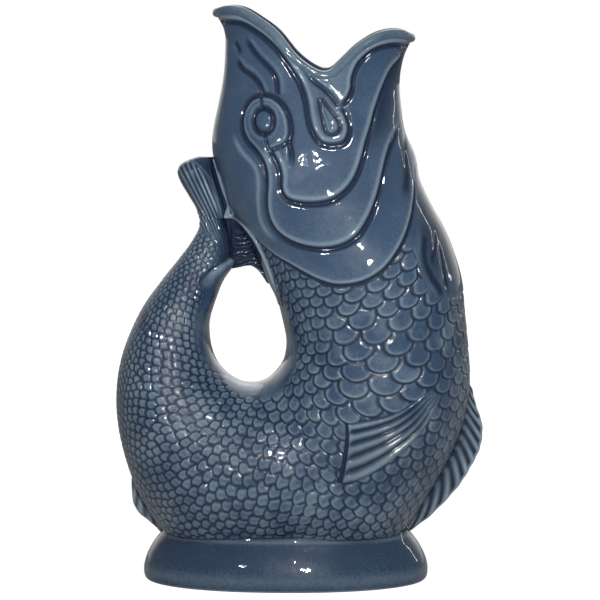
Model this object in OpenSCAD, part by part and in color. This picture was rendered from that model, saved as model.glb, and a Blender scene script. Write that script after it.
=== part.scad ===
// Fish gurgle jug in glazed earthenware: a hollow fish that stands on an oval foot,
// pours from its open mouth and curls its hollow tail round a finger hole.
// X runs from the tail bend (-) to the breast (+), Y is across, Z is up from the table.

/* [Overall] */
// Height of the head from the body seam to the tip of the back lip
head_h = 137; // [117:1:158]
// Width of the side outline, from the tail bend to the breast
jug_w = 164; // [140:1:190]
// Depth across the belly
belly_d = 93; // [80:1:108]
// Depth of the grooves between the scales of the castings
scale_groove_d = 0.5; // [0:0.05:0.8]
// Depth across the gill covers
gill_d = 90; // [78:1:104]
// Thickness of the cast wall
wall_t = 4.5; // [3.5:0.1:5.5]
// Thickness of the belly floor
floor_t = 5; // [4:0.1:7]
// Film of slip between a member and the wall that it sits on
slip_gap = 0.35; // [0.3:0.05:0.5]

/* [Mouth] */
// Height of the body seam, where the head casting starts
seam_z = 128; // [122:1:134]
// Height of the rolled lip bead above the wall
bead_h = 2.4; // [1.6:0.1:3.2]
// How far the bead rolls out past the wall
bead_roll_w = 1.1; // [0.4:0.1:2]
// Depth of the V in the rim, from the back lip to the pouring dip, as a share of head_h
rim_dip_share = 0.214; // [0.15:0.002:0.25]

/* [Finger hole] */
// Width of the finger hole
hole_w = 34.5; // [28:0.5:40]
// Height of the finger hole
hole_h = 58; // [48:0.5:66]
// Distance of the hole's centre from the jug's middle plane, towards the tail
hole_x = 24; // [21:0.5:27]
// Height of the hole's centre
hole_z = 120; // [114:0.5:126]

/* [Foot] */
// Length of the foot on the table
foot_l = 132; // [122:1:144]
// Depth of the foot on the table
foot_d = 86; // [78:1:96]
// Length of the collar where the belly sits
collar_l = 113.4; // [106:0.5:118]
// Depth of the collar where the belly sits
collar_d = 73; // [68:0.5:76]
// Height of the collar at the front and back
collar_h = 23.5; // [19:0.5:28]
// How much lower the collar is at its two ends
collar_drop = 6.5; // [3:0.5:9]
// Wall of the foot ring
foot_wall = 7; // [5:0.5:9]
// Offset of the foot's centre towards the tail
foot_x = 6.6; // [3:0.2:10]

/* [Gills and face] */
// Thickness of the applied gill cover
gill_t = 1.6; // [1.2:0.1:2.4]
// Thickness of the cheek plate
cheek_t = 1.9; // [1.4:0.1:2.8]
// Thickness of the face plate
face_t = 2.2; // [1.6:0.1:3]
// Thickness of the lip fold
fold_t = 2; // [1.4:0.1:3]
// Width of the bevel along a plate's edges
plate_bevel = 1.2; // [0.6:0.1:2]
// Width of the eye from corner to corner
eye_w = 19; // [15:0.5:21]
// Height of the eye as a share of head_h
eye_share = 0.16; // [0.13:0.005:0.17]
// Thickness of the eye ring
eye_t = 1.7; // [1.2:0.1:2.4]
// Width of the pupil
pupil_w = 6.6; // [5:0.1:8]
// Height of the pupil as a share of head_h
pupil_share = 0.063; // [0.05:0.001:0.07]
// Dome of the pupil above the wall
pupil_t = 2.2; // [1.5:0.1:3]
// Groove cut round the pupil
pupil_groove_d = 1; // [0.6:0.1:1.6]

/* [Fins] */
// Height of the belly fin above the breast line
belly_fin_h = 11.5; // [8:0.5:14]
// Height of the vent fin above the tail line
vent_fin_h = 6; // [4.5:0.5:7.5]
// Thickness of the keel fins at their base
keel_t = 7; // [5:0.5:9]
// Thickness of the keel fins at their edge
keel_edge_t = 3.2; // [2.4:0.1:4]
// Depth of the grooves between fin rays
ray_groove_d = 0.7; // [0.3:0.1:1]
// Thickness of the pectoral fins
pectoral_t = 2.4; // [1.6:0.1:3.4]
// Thickness of the dorsal web between nape and tail
dorsal_t = 11; // [8:0.5:14]
// Distance between nape and tail at the top of the finger hole
web_w = 9.5; // [8:0.1:12]
// Clearance between the dorsal web and the tail
web_gap = 0.7; // [0.5:0.05:1]
// Thickness of the smooth tail web round the hole's inner edge
web_t = 1.6; // [1.2:0.1:2.4]
// Height of the tail fan
fan_h = 27; // [23:0.5:30]
// Depth of the tail fan across its widest rays
fan_d = 21; // [17:0.5:25]

/* [Hidden] */

// Roundness of every cross section: 2 is an ellipse, more is squarer
section_power = 2.2;
// Facets round each casting and round the foot
around = 36;
foot_around = 40;

// The head at even heights from the body seam to the lip tip:
// left edge and right edge as shares of jug_w, half depth as a share of gill_d
head_shares = [
    [-0.063, 0.463, 0.494], [-0.093, 0.455, 0.505], [-0.123, 0.435, 0.505], [-0.163, 0.407, 0.494],
    [-0.199, 0.368, 0.478], [-0.222, 0.336, 0.456], [-0.244, 0.322, 0.428], [-0.243, 0.293, 0.394],
    [-0.229, 0.283, 0.356], [-0.216, 0.279, 0.317], [-0.21, 0.292, 0.289], [-0.212, 0.326, 0.267],
    [-0.247, 0.354, 0.244]
];

// Drop of the rim below the lip tip as shares of rim_dip,
// at even steps from the back lip to the pouring lip
rim_shares = [
    0.04, 0, 0.04, 0.2, 0.36, 0.54, 0.71, 0.84, 0.94, 1, 0.97, 0.8, 0.59, 0.44, 0.375, 0.37, 0.43
];

// The body and tail at even steps round the finger hole, from the body seam to the tail root:
// outer edge as shares of jug_w and seam_z, inner edge from the hole's centre as shares of hole_w
// and hole_h, half depth as a share of belly_d
body_shares = [
    [0.463, 1, 0.394, 0.138, 0.4785], [0.475, 0.845, 0.496, -0.121, 0.484],
    [0.479, 0.704, 0.481, -0.276, 0.495], [0.457, 0.547, 0.417, -0.362, 0.5],
    [0.398, 0.383, 0.336, -0.421, 0.495], [0.279, 0.148, 0.255, -0.462, 0.484],
    [0.177, 0.07, 0.168, -0.486, 0.484], [-0.037, 0.087, 0.072, -0.5, 0.484],
    [-0.25, 0.079, -0.029, -0.497, 0.473], [-0.366, 0.145, -0.128, -0.479, 0.452],
    [-0.452, 0.296, -0.226, -0.445, 0.414], [-0.502, 0.468, -0.33, -0.39, 0.376],
    [-0.521, 0.64, -0.429, -0.303, 0.339], [-0.505, 0.805, -0.493, -0.169, 0.301],
    [-0.454, 0.965, -0.505, 0, 0.258], [-0.393, 1.079, -0.465, 0.164, 0.21],
    [-0.343, 1.159, -0.36, 0.336, 0.172], [-0.306, 1.224, 1.347, 0.497, 0.145],
    [-0.287, 1.273, 0.844, 0.647, 0.124], [-0.288, 1.321, 0.554, 0.81, 0.108]
];
// From this step on the inner edge stands behind the nape, by shares of web_w
nape_step = 17;
// Share of its thickness that a plate keeps at its edge
edge_share = 0.45;
// Steps at which the castings part
belly_step = 5;
tail_step = 10;
root_step = len(body_shares) - 1;
// Step at which the tail's hollow ends
hollow_step = 17;
// Place across a ring, from the hole (-1), where the smooth edge of the hole gives way to scales
scale_edge_share = -0.9;
// Rings in each step of a casting, outside and inside
outer_rings = 2;
inner_rings = 1;

// Cuts along each applied plate and across it
gill_cuts = [26, 4];
cheek_cuts = [26, 3];
face_cuts = [28, 3];
brow_cuts = [8, 3];
fold_cuts = [32, 3];
// Facets round the eye ring and the pupil
eye_around = 24;
pupil_around = 20;
// Cuts along the tail web and across it
web_cuts = [14, 8];

// The foot's outline from the table up to the collar:
// height as a share of the collar, flare as a share of the foot's overhang
foot_profile_shares = [[0, 0.88], [0.08, 0.99], [0.2, 1], [0.45, 0.85], [0.72, 0.48], [0.9, 0.13], [1, 0]];

// Member outlines on the side of the head: place across the head from back (-1) to breast (1),
// and height above the body seam as a share of the head's height
gill_outer_shares = [
    [-0.9, 0.766], [-0.93, 0.672], [-0.94, 0.569], [-0.94, 0.467], [-0.93, 0.365], [-0.93, 0.277],
    [-0.86, 0.208], [-0.62, 0.135], [-0.3, 0.091], [0.02, 0.109], [0.36, 0.179], [0.62, 0.263],
    [0.82, 0.358], [0.95, 0.474]
];
gill_inner_shares = [
    [-0.8, 0.796], [-0.67, 0.72], [-0.715, 0.628], [-0.57, 0.526], [-0.515, 0.453], [-0.61, 0.35],
    [-0.665, 0.277], [-0.54, 0.223], [-0.28, 0.207], [0.05, 0.234], [0.34, 0.299], [0.56, 0.387],
    [0.71, 0.489], [0.9, 0.577]
];
cheek_outer_shares = [
    [-0.6, 0.569], [-0.49, 0.515], [-0.44, 0.467], [-0.5, 0.401], [-0.57, 0.328], [-0.57, 0.266],
    [-0.42, 0.223], [-0.16, 0.226], [0.12, 0.259], [0.38, 0.328], [0.57, 0.423], [0.67, 0.518],
    [0.82, 0.584], [0.93, 0.686]
];
cheek_inner_shares = [
    [-0.43, 0.536], [-0.39, 0.504], [-0.365, 0.474], [-0.4, 0.427], [-0.43, 0.38], [-0.33, 0.345],
    [-0.15, 0.338], [0.06, 0.349], [0.24, 0.38], [0.4, 0.427], [0.53, 0.496], [0.65, 0.577],
    [0.74, 0.657], [0.86, 0.745]
];
face_outer_shares = [
    [-0.66, 0.865], [-0.5, 0.821], [-0.37, 0.777], [-0.27, 0.719], [-0.145, 0.657], [-0.13, 0.577],
    [-0.26, 0.507], [-0.3, 0.438], [-0.3, 0.383], [-0.05, 0.376], [0.22, 0.412], [0.45, 0.496],
    [0.6, 0.599], [0.71, 0.693], [0.83, 0.781], [0.93, 0.839]
];
// The lip fold and the inner edge of the face plate hang below the rim by shares of rim_dip
fold_drop_shares = [
    [-0.93, 0.114], [-0.77, 0.131], [-0.62, 0.086], [-0.44, 0.052], [-0.28, 0.064], [-0.14, 0.135],
    [-0.03, 0.331], [0.03, 0.595], [0.08, 0.844], [0.16, 0.964], [0.28, 1.045], [0.38, 1.071],
    [0.39, 0.867], [0.3, 0.505], [0.4, 0.491], [0.43, 0.268], [0.52, 0.161], [0.68, 0.138],
    [0.9, 0.1]
];
face_drop_shares = [
    [-0.66, 0.243], [-0.48, 0.194], [-0.33, 0.184], [-0.2, 0.26], [-0.1, 0.402], [-0.05, 0.65],
    [-0.02, 0.904], [0.03, 1.04], [0.1, 1.107], [0.22, 1.146], [0.34, 1.247], [0.43, 1.259],
    [0.48, 1.074], [0.49, 0.781], [0.56, 0.433], [0.8, 0.287]
];
brow_outer_shares = [[-0.79, 0.823], [-0.67, 0.795], [-0.57, 0.76], [-0.52, 0.736], [-0.47, 0.719]];
brow_inner_shares = [[-0.7, 0.855], [-0.57, 0.821], [-0.46, 0.788], [-0.4, 0.752], [-0.37, 0.725]];
// Places across the head where the lip fold starts and ends
fold_end_shares = [-0.93, 0.9];
// Share of the rim's drop kept clear between the lip fold and the bead
fold_clear_share = 0.06;
// The eye's centre across the head and above the body seam
eye_place_shares = [-0.41, 0.611];
pupil_place_shares = [-0.455, 0.62];
// Width and height of the pupil's dome from its edge to its top
pupil_dome_shares = [[1, 0], [1, 0.4], [0.8, 0.75], [0.4, 1]];

// The pectoral fin on the body: step round the finger hole, and place along that ring
// from the hole (-1) to the outer edge (1)
pectoral_top_shares = [[1.95, 0.58], [2.43, 0.4], [2.89, 0.22], [3.31, 0.03], [3.83, -0.17]];
pectoral_low_shares = [[2.15, 0.68], [2.75, 0.62], [3.45, 0.54], [4.3, 0.385], [5.12, 0.12]];
pectoral_rays = 5;
pectoral_rows = 8;
// Rows over which the pectoral grooves reach their full depth
groove_rise_rows = 3;

// The tail web: step round the hole, half the angle that it wraps as a share of a turn,
// and thickness as a share of web_t
web_shares = [
    [13.3, 0.02, 0.1], [13.8, 0.09, 0.3], [14.3, 0.13, 0.6], [14.9, 0.145, 0.9], [15.3, 0.165, 1],
    [15.6, 0.21, 1], [15.95, 0.195, 1], [16.3, 0.165, 1], [16.6, 0.11, 0.8], [16.8, 0.03, 0.5]
];

// Height of the keel fins as shares of their full height, at even steps
belly_fin_shares = [0.09, 0.35, 0.8, 1, 0.99, 0.92, 0.62, 0.19];
belly_fin_steps = [2, 4.8];
belly_fin_rays = 12;
vent_fin_shares = [0.42, 0.53, 0.88, 0.98, 0.55, 0.06];
vent_fin_steps = [9.3, 10.42];
vent_fin_rays = 6;

// Steps of the tail that the dorsal web joins, and the rise of its nape edge there
// as shares of hole_h
web_tail_steps = [19, 18.4, 17.8, 17.3, 17];
web_rise_shares = [0, 0.01, 0.03, 0.04, 0.04];
// The web's free edge over the hole: distance behind the nape as a share of web_w,
// height from the hole's centre and rise of the nape edge as shares of hole_h
web_edge_shares = [[1.07, 0.456, 0.02], [0.6, 0.455, -0.015], [0.3, 0.385, -0.02], [0.12, 0.3, -0.018]];
// Thickness of the web at the tail as a share of its thickness at the nape
web_far_share = 0.8;
dorsal_rays = 12;

// The tail fan: outer edge from the tail root as shares of fan_h, inner edge behind the nape
// as a share of web_w and above the root as a share of fan_h, half depth as a share of fan_d
fan_shares = [
    [-0.03, 0.11, 0.35, 0.12, 0.46], [-0.15, 0.31, 0.3, 0.29, 0.46], [-0.29, 0.55, 0.31, 0.52, 0.48],
    [-0.34, 0.73, 0.33, 0.72, 0.5], [-0.28, 0.85, 0.27, 0.86, 0.44], [-0.13, 0.93, 0.16, 0.94, 0.3],
    [-0.01, 0.985, 0.15, 1.045, 0.12]
];

rim_dip = rim_dip_share * head_h;
eye_h = eye_share * head_h;
pupil_h = pupil_share * head_h;
foot_centre = -foot_x;
hole_centre = [-hole_x, hole_z];

// A point at step t of a table, on a smooth curve through its rows
function row_at(rows, t) =
    let (
        last = len(rows) - 1,
        u = min(max(t, 0), last),
        i = min(floor(u), last - 1),
        f = u - i,
        p0 = rows[max(i - 1, 0)],
        p1 = rows[i],
        p2 = rows[i + 1],
        p3 = rows[min(i + 2, last)]
    )
    let (bend = p0 - 2.5 * p1 + 2 * p2 - p3 / 2, twist = 1.5 * (p1 - p2) + (p3 - p0) / 2)
    p1 + f * ((p2 - p0) / 2 + f * (bend + f * twist));

// A point at share s of a whole table
function row_share(rows, s) = row_at(rows, s * (len(rows) - 1));

// Signed power of the cosine and sine, for the rounded cross sections
function round_cos(a) = sign(cos(a)) * pow(abs(cos(a)), 2 / section_power);
function round_sin(a) = sign(sin(a)) * pow(abs(sin(a)), 2 / section_power);
// Depth share of a cross section at place c along it
function bulge(c) = pow(max(0, 1 - pow(abs(c), section_power)), 1 / section_power);
function flat_list(lists) = [for (l = lists) each l];

// Left edge, right edge and half depth of the head at height z
function head_row(z) =
    let (r = row_share(head_shares, (z - seam_z) / head_h))
    [r[0] * jug_w, r[1] * jug_w, r[2] * gill_d];
function nape_x(z) = head_row(z)[0];
// A point on the head at angle a and height z, moved out by lift
function head_ring_point(a, z, lift) =
    let (r = head_row(z), mid = (r[0] + r[1]) / 2, half = (r[1] - r[0]) / 2)
    [mid + (half + lift) * round_cos(a), (r[2] + lift) * round_sin(a), z];
// A point on the side of the head at place c across it
function head_side_point(c, z, lift, side) =
    let (r = head_row(z), mid = (r[0] + r[1]) / 2, half = (r[1] - r[0]) / 2)
    [mid + (half + lift) * c, side * (r[2] + lift) * bulge(c), z];
// Height of the rim at place c across the head, over the wall and under the bead
function rim_z(c) =
    let (drop = row_share([for (s = rim_shares) [s]], (c + 1) / 2)[0])
    seam_z + head_h - bead_h - rim_dip * drop;

// Outer edge, inner edge and half depth of the body at each step
body_rows = [
    for (k = [0:root_step])
        let (
            r = body_shares[k],
            z = hole_centre.y + r[3] * hole_h,
            x = k < nape_step ? hole_centre.x + r[2] * hole_w : nape_x(z) - r[2] * web_w
        )
        [r[0] * jug_w, r[1] * seam_z, x, z, r[4] * belly_d]
];
// The first ring of the body is the first ring of the head
function joint_row(t) =
    let (b = row_at(body_rows, t), h = head_row(seam_z), k = max(0, 1 - t))
    [
        b[0] + k * (h[1] - b[0]), b[1] + k * (seam_z - b[1]), b[2] + k * (h[0] - b[2]),
        b[3] + k * (seam_z - b[3]), b[4] + k * (h[2] - b[4])
    ];
// Height of the saddle that the belly sits on
function saddle_z(x) = collar_h - collar_drop * pow(min(1, abs(x - foot_centre) / (collar_l / 2)), 2);
// A point on the body at step t and place [c, s] on the unit section, moved out by lift
function body_point(t, c, s, lift) =
    let (
        r = joint_row(t),
        outer = [r[0], r[1]],
        inner = [r[2], r[3]],
        mid = (outer + inner) / 2,
        half = norm(outer - inner) / 2,
        dir = (outer - inner) / (2 * half),
        p = mid + dir * (half + lift) * c
    )
    [p.x, (r[4] + lift) * s, p.y];
function body_ring(t, lift, groove = 0) =
    let (floor_lift = lift < 0 ? floor_t : 0)
    [
        for (j = [0:around - 1])
            let (
                a = 360 * j / around,
                scaly = (t * outer_rings + j) % 2 == 0 && round_cos(a) > scale_edge_share,
                p = body_point(t, round_cos(a), round_sin(a), lift - (scaly ? groove : 0))
            )
            [p.x, p.y, max(p.z, saddle_z(p.x) + floor_lift)]
    ];

// Faces over a grid of rings; wrap joins the last ring to the first
function grid_faces(rings, count, wrap) = [
    for (i = [0:rings - (wrap ? 1 : 2)], j = [0:count - 1])
        let (
            a = i * count + j,
            b = i * count + (j + 1) % count,
            c = ((i + 1) % rings) * count + (j + 1) % count,
            d = ((i + 1) % rings) * count + j
        )
        each [[a, b, c], [a, c, d]]
];

// A closed wall: rings run up the outside and down the inside
module walled(rings) {
    polyhedron(flat_list(rings), grid_faces(len(rings), len(rings[0]), true));
}

// A solid stack of rings, closed at both ends
module stacked(rings) {
    count = len(rings[0]);
    last = (len(rings) - 1) * count;
    ends = [
        for (j = [0:count / 2 - 2])
            let (k = count - 1 - j)
            each [
                [j + 1, j, k], [j + 1, k, k - 1],
                [last + j, last + j + 1, last + k], [last + j + 1, last + k - 1, last + k]
            ]
    ];
    polyhedron(flat_list(rings), concat(grid_faces(len(rings), count, false), ends));
}

// The same rings run the other way round
function turned(rings) = [for (r = rings) [for (k = [len(r) - 1:-1:0]) r[k]]];

// Rings of a casting between two steps, in either direction
function casting_rings(from, to, lift) =
    let (per = lift < 0 ? inner_rings : outer_rings, n = abs(to - from) * per, way = sign(to - from))
    [
        for (i = [0:n])
            body_ring(from + way * i / per, lift, (lift < 0 || i == 0 || i == n) ? 0 : scale_groove_d)
    ];

module casting(from, to) {
    walled(concat(casting_rings(from, to, 0), casting_rings(to, from, -wall_t)));
}

module breast_shell() {
    color("#5d7088")
        casting(0, belly_step);
}

module belly_shell() {
    color("#62748c")
        casting(belly_step, tail_step);
}

// The tail casting is open towards the belly and closed at its root
module tail_shell() {
    color("#586b82")
        stacked(concat(
            casting_rings(hollow_step, tail_step, -wall_t),
            casting_rings(tail_step, root_step, 0)
        ));
}

// Rows of the head follow the V of the rim more and more as they climb
head_rows = 12;
head_inner_rows = 6;
function head_rim_z(a) = rim_z(round_cos(a));
function head_ring(share, lift) = [
    for (j = [0:around - 1])
        let (a = 360 * j / around)
        head_ring_point(a, seam_z + (head_rim_z(a) - seam_z) * share, lift)
];

module head_shell() {
    color("#4f617b")
        walled(turned(concat(
            [for (k = [0:head_rows]) head_ring(k / head_rows, 0)],
            [for (k = [head_inner_rows:-1:0]) head_ring(k / head_inner_rows, -wall_t)]
        )));
}

// The bead stands on the wall's edge, square to the run of the rim
bead_angles = [0, 8, 30, 60, 90, 120, 150, 180];
module lip_bead() {
    outer = head_ring(1, 0);
    inner = head_ring(1, -wall_t);
    color("#8798a2")
        walled([
            for (j = [0:around - 1])
                let (
                    next = (j + 1) % around,
                    before = (j + around - 1) % around,
                    mid = (outer[j] + inner[j]) / 2,
                    out = (outer[j] - inner[j]) / 2,
                    run = outer[next] - outer[before],
                    up = cross(out, run) / norm(cross(out, run))
                )
                [
                    for (a = bead_angles)
                        a == 0 ? outer[j]
                        : a == 180 ? inner[j]
                        : mid + out * cos(a) + up * bead_h * sin(a)
                            + out / norm(out) * bead_roll_w * max(0, cos(a))
                ]
        ]);
}

// A plate on the side of the head between two outlines, bevelled along both
module head_plate(outer_shares, inner_shares, cuts, thick, side) {
    along = cuts[0];
    across = cuts[1];
    lifts = [for (k = [0:across]) min(k, across - k) == 0 ? 0 : 1];
    rings = [
        for (i = [0:along])
            let (
                o = row_share(outer_shares, i / along),
                n = row_share(inner_shares, i / along),
                end = (i == 0 || i == along) ? 0 : 1,
                z0 = seam_z + o[1] * head_h,
                z1 = seam_z + n[1] * head_h,
                width = norm(head_side_point(o[0], z0, 0, side) - head_side_point(n[0], z1, 0, side)),
                bevel = min(plate_bevel / width, 1 / across),
                places = [
                    for (k = [0:across])
                        k == 0 ? 0 : k == 1 ? bevel : k == across - 1 ? 1 - bevel : k / across
                ],
                top = [
                    for (k = [0:across])
                        let (q = o + (n - o) * places[k])
                        head_side_point(
                            q[0], seam_z + q[1] * head_h,
                            slip_gap + thick * (lifts[k] * end > 0 ? 1 : edge_share), side
                        )
                ],
                under = [
                    for (k = [across:-1:0])
                        let (q = o + (n - o) * places[k])
                        head_side_point(q[0], seam_z + q[1] * head_h, slip_gap, side)
                ]
            )
            concat(top, under)
    ];
    stacked(side < 0 ? rings : turned(rings));
}

module gill_cover(side) {
    color("#52647f")
        head_plate(gill_outer_shares, gill_inner_shares, gill_cuts, gill_t, side);
}

module cheek_plate(side) {
    color("#566a84")
        head_plate(cheek_outer_shares, cheek_inner_shares, cheek_cuts, cheek_t, side);
}

module face_plate(side) {
    color("#4b5d79")
        head_plate(face_outer_shares, face_inner_shares, face_cuts, face_t, side);
}

module brow_fold(side) {
    color("#5b6e87")
        head_plate(brow_outer_shares, brow_inner_shares, brow_cuts, face_t, side);
}

// The lip fold hangs from just under the rim down to the mouth's corner
fold_steps = len(fold_drop_shares) - 1;
function below_rim(drops) = [for (q = drops) [q[0], (rim_z(q[0]) - q[1] * rim_dip - seam_z) / head_h]];
fold_outer_shares = below_rim(fold_drop_shares);
fold_inner_shares = below_rim([
    for (k = [0:fold_steps])
        [fold_end_shares.x + (fold_end_shares.y - fold_end_shares.x) * k / fold_steps, fold_clear_share]
]);
face_inner_shares = below_rim(face_drop_shares);

module lip_fold(side) {
    color("#8294a0")
        head_plate(fold_outer_shares, fold_inner_shares, fold_cuts, fold_t, side);
}

module pectoral_fin(side) {
    across = pectoral_rays * 2;
    along = pectoral_rows;
    rings = [
        for (i = [0:along])
            let (
                t = row_share(pectoral_top_shares, i / along),
                l = row_share(pectoral_low_shares, i / along),
                places = [for (k = [0:across]) t + (l - t) * k / across],
                top = [
                    for (k = [0:across])
                        let (
                            q = places[k],
                            edge = (k == 0 || k == across || i == 0) ? edge_share : 1,
                            ray = k % 2 == 0 ? 0 : ray_groove_d * min(1, i / groove_rise_rows)
                        )
                        body_point(q[0], q[1], side * bulge(q[1]), slip_gap + pectoral_t * edge - ray)
                ],
                under = [
                    for (k = [across:-1:0])
                        let (q = places[k])
                        body_point(q[0], q[1], side * bulge(q[1]), slip_gap)
                ]
            )
            concat(top, under)
    ];
    color("#55687f")
        stacked(side < 0 ? rings : turned(rings));
}

// A ring of the eye: places round an oval on the side of the head
function oval_place(place, w, h, a, side, lift) =
    let (
        z = seam_z + place[1] * head_h + h / 2 * sin(a),
        r = head_row(z),
        centre = head_row(seam_z + place[1] * head_h),
        x = (centre[0] + centre[1]) / 2 + place[0] * (centre[1] - centre[0]) / 2 + w / 2 * cos(a),
        c = (x - (r[0] + r[1]) / 2) / ((r[1] - r[0]) / 2)
    )
    head_side_point(c, z, lift, side);

module eye_ring(side) {
    color("#3a4a62")
        walled([
            for (i = [0:eye_around - 1])
                let (
                    a = side * 360 * i / eye_around,
                    w = pupil_w + 2 * pupil_groove_d,
                    h = pupil_h + 2 * pupil_groove_d,
                    rim = oval_place(eye_place_shares, eye_w, eye_h, a, side, slip_gap),
                    hub = oval_place(pupil_place_shares, w, h, a, side, slip_gap),
                    top = slip_gap + eye_t,
                    rim_w = eye_w - plate_bevel,
                    rim_h = eye_h - plate_bevel,
                    rim_top = oval_place(eye_place_shares, rim_w, rim_h, a, side, top),
                    hub_top = oval_place(pupil_place_shares, w + plate_bevel, h + plate_bevel, a, side, top)
                )
                [rim, hub, hub_top, rim_top]
        ]);
}

module pupil(side) {
    color("#5a6e86")
        stacked([
            for (k = pupil_dome_shares)
                [
                    for (i = [0:pupil_around - 1])
                        let (a = side * 360 * i / pupil_around, lift = slip_gap + pupil_t * k[1])
                        oval_place(pupil_place_shares, pupil_w * k[0], pupil_h * k[0], a, side, lift)
                ]
        ]);
}

// The tail web wraps the hole's edge of the tail
module tail_web() {
    along = web_cuts[0];
    across = web_cuts[1];
    color("#60738a")
        stacked([
            for (i = [0:along])
                let (
                    q = row_share(web_shares, i / along),
                    angles = [for (k = [0:across]) 180 + 360 * q[1] * (2 * k / across - 1)],
                    top = [
                        for (k = [0:across])
                            let (edge = (k == 0 || k == across) ? edge_share : 1)
                            body_point(
                                q[0], round_cos(angles[k]), round_sin(angles[k]),
                                slip_gap + web_t * q[2] * edge
                            )
                    ],
                    under = [
                        for (k = [across:-1:0])
                            body_point(q[0], round_cos(angles[k]), round_sin(angles[k]), slip_gap)
                    ]
                )
                concat(under, top)
        ]);
}

// A keel fin stands along the body's outer edge between two steps
module keel_fin(shares, steps, full, rays) {
    along = rays * 2;
    stacked([
        for (i = [0:along])
            let (
                t = steps[0] + (steps[1] - steps[0]) * i / along,
                h = full * row_share([for (s = shares) [s]], i / along)[0],
                r = joint_row(t),
                outer = [r[0], r[1]],
                dir = (outer - [r[2], r[3]]) / norm(outer - [r[2], r[3]]),
                groove = i % 2 == 0 ? 0 : ray_groove_d,
                base = outer + dir * slip_gap,
                waist = base + dir * h / 2,
                tip = base + dir * h
            )
            [
                for (q = [
                    [base, -keel_t / 2 + groove], [waist, -(keel_t + keel_edge_t) / 4 + groove],
                    [tip, -keel_edge_t / 2 + groove], [tip, keel_edge_t / 2 - groove],
                    [waist, (keel_t + keel_edge_t) / 4 - groove], [base, keel_t / 2 - groove]
                ])
                    [q[0].x, q[1], q[0].y]
            ]
    ]);
}

module belly_fin() {
    color("#6a7d92")
        keel_fin(belly_fin_shares, belly_fin_steps, belly_fin_h, belly_fin_rays);
}

module vent_fin() {
    color("#7d90a3")
        keel_fin(vent_fin_shares, vent_fin_steps, vent_fin_h, vent_fin_rays);
}

// Rows of the dorsal web: nape edge and far edge, down the fan, the tail and the hole
function nape_point(z) = [nape_x(z) - slip_gap, z];
dorsal_rows = concat(
    [
        for (k = [len(fan_shares) - 2:-1:0])
            let (far = fan_inner(k) + [web_gap, 0])
            concat(nape_point(far.y), far)
    ],
    [
        for (k = [0:len(web_tail_steps) - 1])
            let (tail = joint_row(web_tail_steps[k]))
            concat(nape_point(tail[3] + web_rise_shares[k] * hole_h), [tail[2] + web_gap, tail[3]])
    ],
    [
        for (q = web_edge_shares)
            let (z = hole_centre.y + q[1] * hole_h)
            concat(nape_point(z + q[2] * hole_h), [nape_x(z) - q[0] * web_w, z])
    ]
);

// The dorsal web joins the nape to the tail over the finger hole
module dorsal_fin() {
    along = dorsal_rays * 2;
    color("#3c4b60")
        stacked([
            for (i = [0:along])
                let (
                    q = row_share(dorsal_rows, i / along),
                    half = dorsal_t / 2 - (i % 2 == 0 ? 0 : ray_groove_d),
                    far_half = half * web_far_share
                )
                [[q[0], half, q[1]], [q[2], far_half, q[3]], [q[2], -far_half, q[3]], [q[0], -half, q[1]]]
        ]);
}

// Outer and inner edge of the tail fan at row k, from the tail root
function root_outer() = let (r = joint_row(root_step)) [r[0], r[1]];
function root_inner() = let (r = joint_row(root_step)) [r[2], r[3]];
function fan_outer(k) = root_outer() + [fan_shares[k][0], fan_shares[k][1]] * fan_h;
function fan_inner(k) =
    let (z = root_inner().y + fan_shares[k][3] * fan_h)
    [nape_x(z) - fan_shares[k][2] * web_w, z];

// The tail fan grows from the tail root and ends in a rounded, ribbed edge
module tail_fin() {
    color("#5a6b80")
        stacked(concat(
            [body_ring(root_step, 0)],
            [
                for (k = [0:len(fan_shares) - 1])
                    let (
                        mid = (fan_outer(k) + fan_inner(k)) / 2,
                        half = (fan_outer(k) - fan_inner(k)) / 2
                    )
                    [
                        for (j = [0:around - 1])
                            let (
                                a = 360 * j / around,
                                groove = j % 2 == 0 ? 0 : ray_groove_d,
                                p = mid + half * round_cos(a) * (1 - groove / norm(half))
                            )
                            [p.x, (fan_shares[k][4] * fan_d - groove) * round_sin(a), p.y]
                    ]
            ]
        ));
}

// The foot is an open ring with a flared outside and a saddle on top
module foot() {
    rows = len(foot_profile_shares);
    over_l = (foot_l - collar_l) / 2;
    over_d = (foot_d - collar_d) / 2;
    function foot_ring(grow_l, grow_d, share) = [
        for (j = [0:foot_around - 1])
            let (
                a = 360 * j / foot_around,
                x = foot_centre + (collar_l / 2 + grow_l) * round_cos(a)
            )
            [x, -(collar_d / 2 + grow_d) * round_sin(a), share * (saddle_z(x) - slip_gap)]
    ];
    color("#55677e")
        walled(concat(
            [for (q = foot_profile_shares) foot_ring(over_l * q[1], over_d * q[1], q[0])],
            [
                for (k = [rows - 1:-1:0])
                    let (q = foot_profile_shares[k])
                    foot_ring(over_l * q[1] - foot_wall, over_d * q[1] - foot_wall, q[0])
            ]
        ));
}

foot();
belly_shell();
breast_shell();
tail_shell();
head_shell();
lip_bead();
tail_fin();
tail_web();
dorsal_fin();
belly_fin();
vent_fin();
pectoral_fin(1);  // pectoral_fin_left
pectoral_fin(-1);  // pectoral_fin_right
gill_cover(1);  // gill_cover_left
gill_cover(-1);  // gill_cover_right
cheek_plate(1);  // cheek_plate_left
cheek_plate(-1);  // cheek_plate_right
face_plate(1);  // face_plate_left
face_plate(-1);  // face_plate_right
brow_fold(1);  // brow_fold_left
brow_fold(-1);  // brow_fold_right
lip_fold(1);  // lip_fold_left
lip_fold(-1);  // lip_fold_right
eye_ring(1);  // eye_ring_left
eye_ring(-1);  // eye_ring_right
pupil(1);  // pupil_left
pupil(-1);  // pupil_right
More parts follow.
